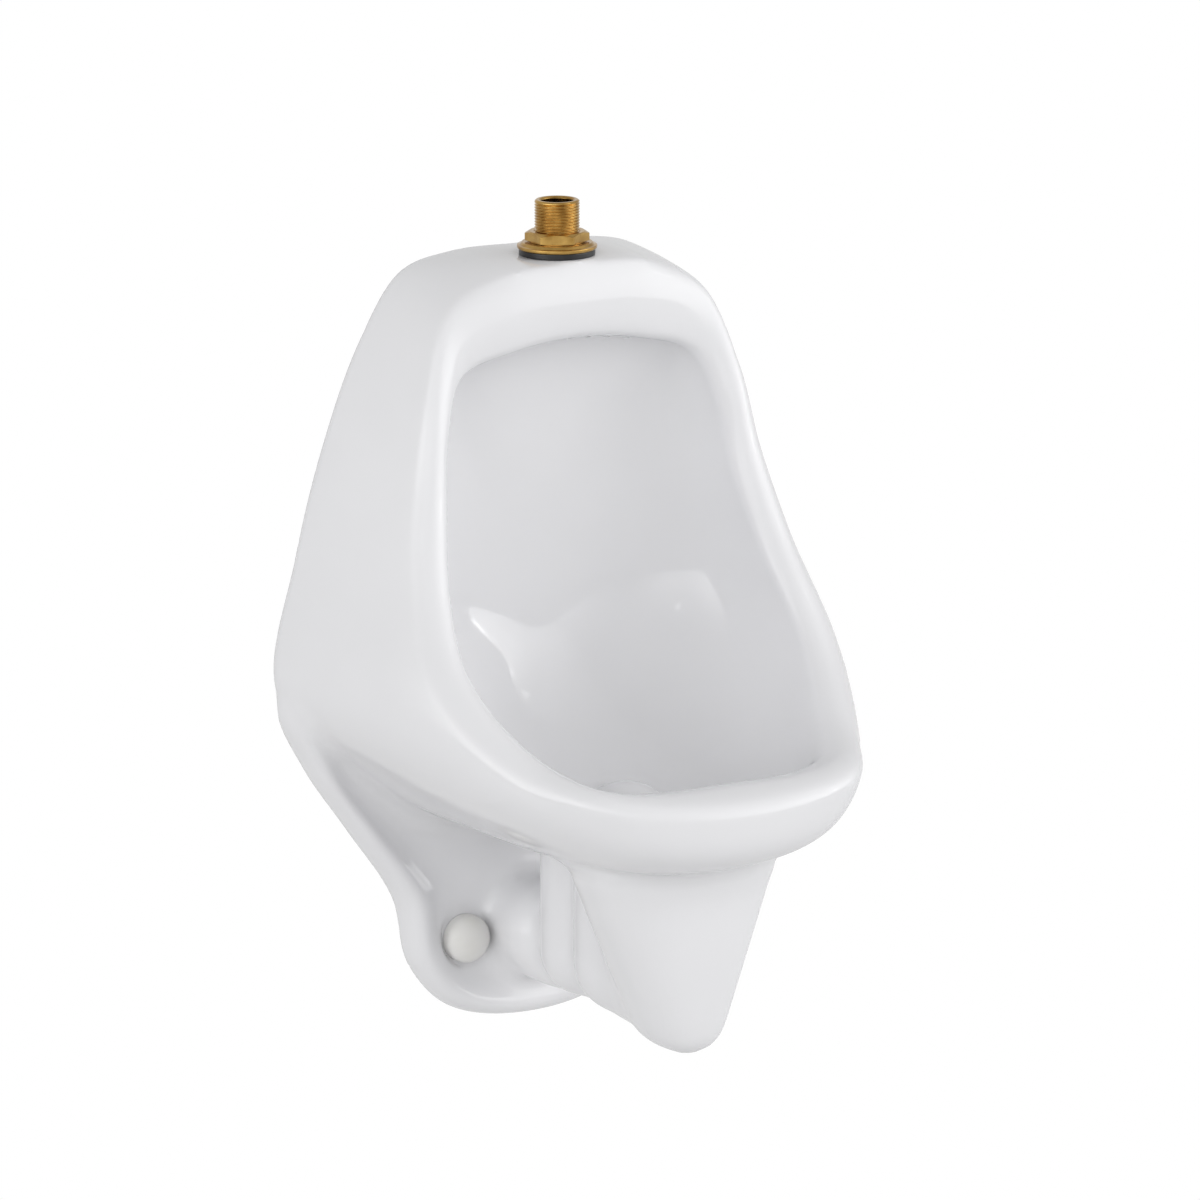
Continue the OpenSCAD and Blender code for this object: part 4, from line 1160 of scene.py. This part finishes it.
# Strainer and its rubber ring
# A pressed disc of brushed stainless steel with a rolled rim and nineteen round holes, resting loose on a rubber ring
# over the drain. It lifts out.
grommet_t = 3
strainer_z = drain_floor + grommet_t
strainer_t = 2
hole_d = 5
hole_pitch = 7.8
over_drain = ((0, -drain_d, 0), (0, 0, 1))
disc_r = strainer_od / 2 - 0.3
disc = turned("stainless_strainer", [[0, strainer_z + 0.05], [disc_r, strainer_z + 0.05], [disc_r, strainer_z + 1.5],
                                     [disc_r - 1.2, strainer_z + strainer_t], [disc_r - 4, strainer_z + strainer_t],
                                     [disc_r - 5, strainer_z + strainer_t - 0.35],
                                     [0, strainer_z + strainer_t - 0.35]], *over_drain, 0.3)

# Brushed stainless steel: a pale satin metal. The brush marks run across, 4 mm long and 0.3 mm wide, coarser than
# real ones, so that they show.
steel, tree, where = new_material("brushed_stainless_steel")
stretched = node(tree, "ShaderNodeMapping", Vector=where, Scale=(1, 14, 1)).outputs["Vector"]
brushing = node(tree, "ShaderNodeTexNoise", Vector=stretched, Scale=1 / 0.004, Detail=4.0,
                Roughness=0.6).outputs["Fac"]
surfaced(tree, brushing, "#b4b4b2", "#cdcdcb", brushing, 0.3, 0.00005, polish=(brushing, 0.24, 0.36), Metallic=1.0)

piercing = bpy.data.node_groups.new("strainer_piercing", "GeometryNodeTree")
piercing.interface.new_socket("Disc", in_out="INPUT", socket_type="NodeSocketGeometry")
sockets = {}
for label, value in (("Hole diameter", hole_d), ("Hole pitch", hole_pitch), ("Middle height", strainer_z)):
    socket = piercing.interface.new_socket(label, in_out="INPUT", socket_type="NodeSocketFloat")
    socket.default_value = value * millimetre
    sockets[label] = (socket.identifier, value * millimetre)
piercing.interface.new_socket("Pierced disc", in_out="OUTPUT", socket_type="NodeSocketGeometry")
given = node(piercing, "NodeGroupInput")
joined_rows = node(piercing, "GeometryNodeJoinGeometry")
for row in (0, 1, 2):
    if row == 0:
        circle = node(piercing, "GeometryNodeMeshLine", {"count_mode": "TOTAL"}, Count=1)
    else:
        out = node(piercing, "ShaderNodeMath", {"operation": "MULTIPLY"}, {0: given.outputs["Hole pitch"], 1: row})
        circle = node(piercing, "GeometryNodeMeshCircle", Radius=out.outputs[0], Vertices=6 * row)
    piercing.links.new(circle.outputs["Mesh"], joined_rows.inputs["Geometry"])
punch_r = node(piercing, "ShaderNodeMath", {"operation": "MULTIPLY"}, {0: given.outputs["Hole diameter"], 1: 0.5})
punch = node(piercing, "GeometryNodeMeshCylinder", Radius=punch_r.outputs[0], Vertices=32, Depth=12 * millimetre)
placed = node(piercing, "GeometryNodeInstanceOnPoints", Points=joined_rows.outputs["Geometry"],
              Instance=punch.outputs["Mesh"])
middle_at = node(piercing, "ShaderNodeCombineXYZ", Y=-drain_d * millimetre, Z=given.outputs["Middle height"])
moved = node(piercing, "GeometryNodeTransform", Geometry=placed.outputs["Instances"],
             Translation=middle_at.outputs["Vector"])
real = node(piercing, "GeometryNodeRealizeInstances", Geometry=moved.outputs["Geometry"])
cutting = node(piercing, "GeometryNodeMeshBoolean", {"operation": "DIFFERENCE", "solver": "EXACT"},
               {"Mesh 1": given.outputs["Disc"], "Mesh 2": real.outputs["Geometry"]})
faced = node(piercing, "GeometryNodeSetMaterial", Geometry=cutting.outputs["Mesh"], Material=steel)
node(piercing, "NodeGroupOutput", sockets={"Pierced disc": faced.outputs["Geometry"]})
step = disc.modifiers.new("piercing", "NODES")
step.node_group = piercing
for identifier, value in sockets.values():
    step[identifier] = value
settled(disc)
cleaned(disc)
fitted(disc, steel, "lift_out_strainer", "strainer")
grommet = turned("rubber_drain_ring", oblong(bore_r + 1, strainer_od / 2 + 0.25, drain_floor, strainer_z),
                 *over_drain, 0.6)
fitted(grommet, rubber, "root", "strainer_grommet")

# Studio
# A white sweep, an even light from every side, and lamps drawn in the world as round pools: [turn, height, tightness,
# strength], each a power of the cosine from its middle. Shiny surfaces mirror the sweep at mirrored_white.
pools = [[35, 5, 10, 1.2], [60, 5, 10, 2.05], [-35, 5, 10, 1.4], [-80, 5, 10, 2.4], [55, 40, 10, 0.6],
         [0, 88, 10, 0.06], [60, 5, 1500, 6], [60, 22, 1500, 3], [60, 40, 1500, 2], [-45, 30, 1500, 3]]
even_light = 0.5
mirrored_white = 0.25

surround = bpy.data.worlds.new("studio_light")
tree = emptied(surround)
way_out = node(tree, "ShaderNodeTexCoord").outputs["Generated"]
total = even_light
for turn, height, tightness, strength in pools:
    turn, height = math.radians(turn), math.radians(height)
    middle = (math.sin(turn) * math.cos(height), -math.cos(turn) * math.cos(height), math.sin(height))
    facing = node(tree, "ShaderNodeVectorMath", {"operation": "DOT_PRODUCT"}, {0: way_out, 1: middle})
    above = node(tree, "ShaderNodeMath", {"operation": "MAXIMUM"}, {0: facing.outputs["Value"], 1: 0})
    pool = node(tree, "ShaderNodeMath", {"operation": "POWER"}, {0: above.outputs[0], 1: tightness})
    total = node(tree, "ShaderNodeMath", {"operation": "MULTIPLY_ADD"},
                 {0: pool.outputs[0], 1: strength, 2: total}).outputs[0]
outward = node(tree, "ShaderNodeSeparateXYZ", Vector=way_out).outputs["Y"]
behind = node(tree, "ShaderNodeMapRange", {"interpolation_type": "SMOOTHSTEP"}, Value=outward, From_Min=0.1,
              From_Max=0.9, To_Min=0, To_Max=mirrored_white)
path = node(tree, "ShaderNodeLightPath").outputs
mirrored = node(tree, "ShaderNodeMath", {"operation": "MAXIMUM"},
                {0: path["Is Glossy Ray"], 1: path["Is Transmission Ray"]})
sweep = node(tree, "ShaderNodeMath", {"operation": "MULTIPLY_ADD"},
             {0: mirrored.outputs[0], 1: behind.outputs["Result"], 2: total})
lamps = node(tree, "ShaderNodeBackground", Color=(1, 1, 1, 1), Strength=sweep.outputs[0])
white = node(tree, "ShaderNodeBackground", Color=(1, 1, 1, 1), Strength=1.0)
sky = node(tree, "ShaderNodeMixShader", sockets={0: path["Is Camera Ray"], 1: lamps.outputs[0], 2: white.outputs[0]})
node(tree, "ShaderNodeOutputWorld", Surface=sky.outputs[0])
bpy.context.scene.world = surround

floor_z = -750
floor_half = 9000
floor = mesh_of("studio_floor", [[x * floor_half, y * floor_half, floor_z]
                                 for x, y in ((-1, -1), (1, -1), (1, 1), (-1, 1))], [[0, 1, 2, 3]], smooth=False)
paper = bpy.data.materials.new("white_paper_sweep")
tree = emptied(paper)
path = node(tree, "ShaderNodeLightPath").outputs
diffuse = node(tree, "ShaderNodeBsdfDiffuse", Color=(0.85, 0.85, 0.85, 1))
shine = node(tree, "ShaderNodeEmission", Color=(1, 1, 1, 1), Strength=1.0)
mirrored = node(tree, "ShaderNodeMath", {"operation": "MAXIMUM"},
                {0: path["Is Glossy Ray"], 1: path["Is Transmission Ray"]})
seen = node(tree, "ShaderNodeMath", {"operation": "MULTIPLY_ADD", "use_clamp": True},
            {0: mirrored.outputs[0], 1: mirrored_white, 2: path["Is Camera Ray"]})
either = node(tree, "ShaderNodeMixShader", sockets={0: seen.outputs[0], 1: diffuse.outputs[0], 2: shine.outputs[0]})
node(tree, "ShaderNodeOutputMaterial", Surface=either.outputs[0])
floor.data.materials.append(paper)

bpy.context.scene.view_settings.view_transform = "Standard"
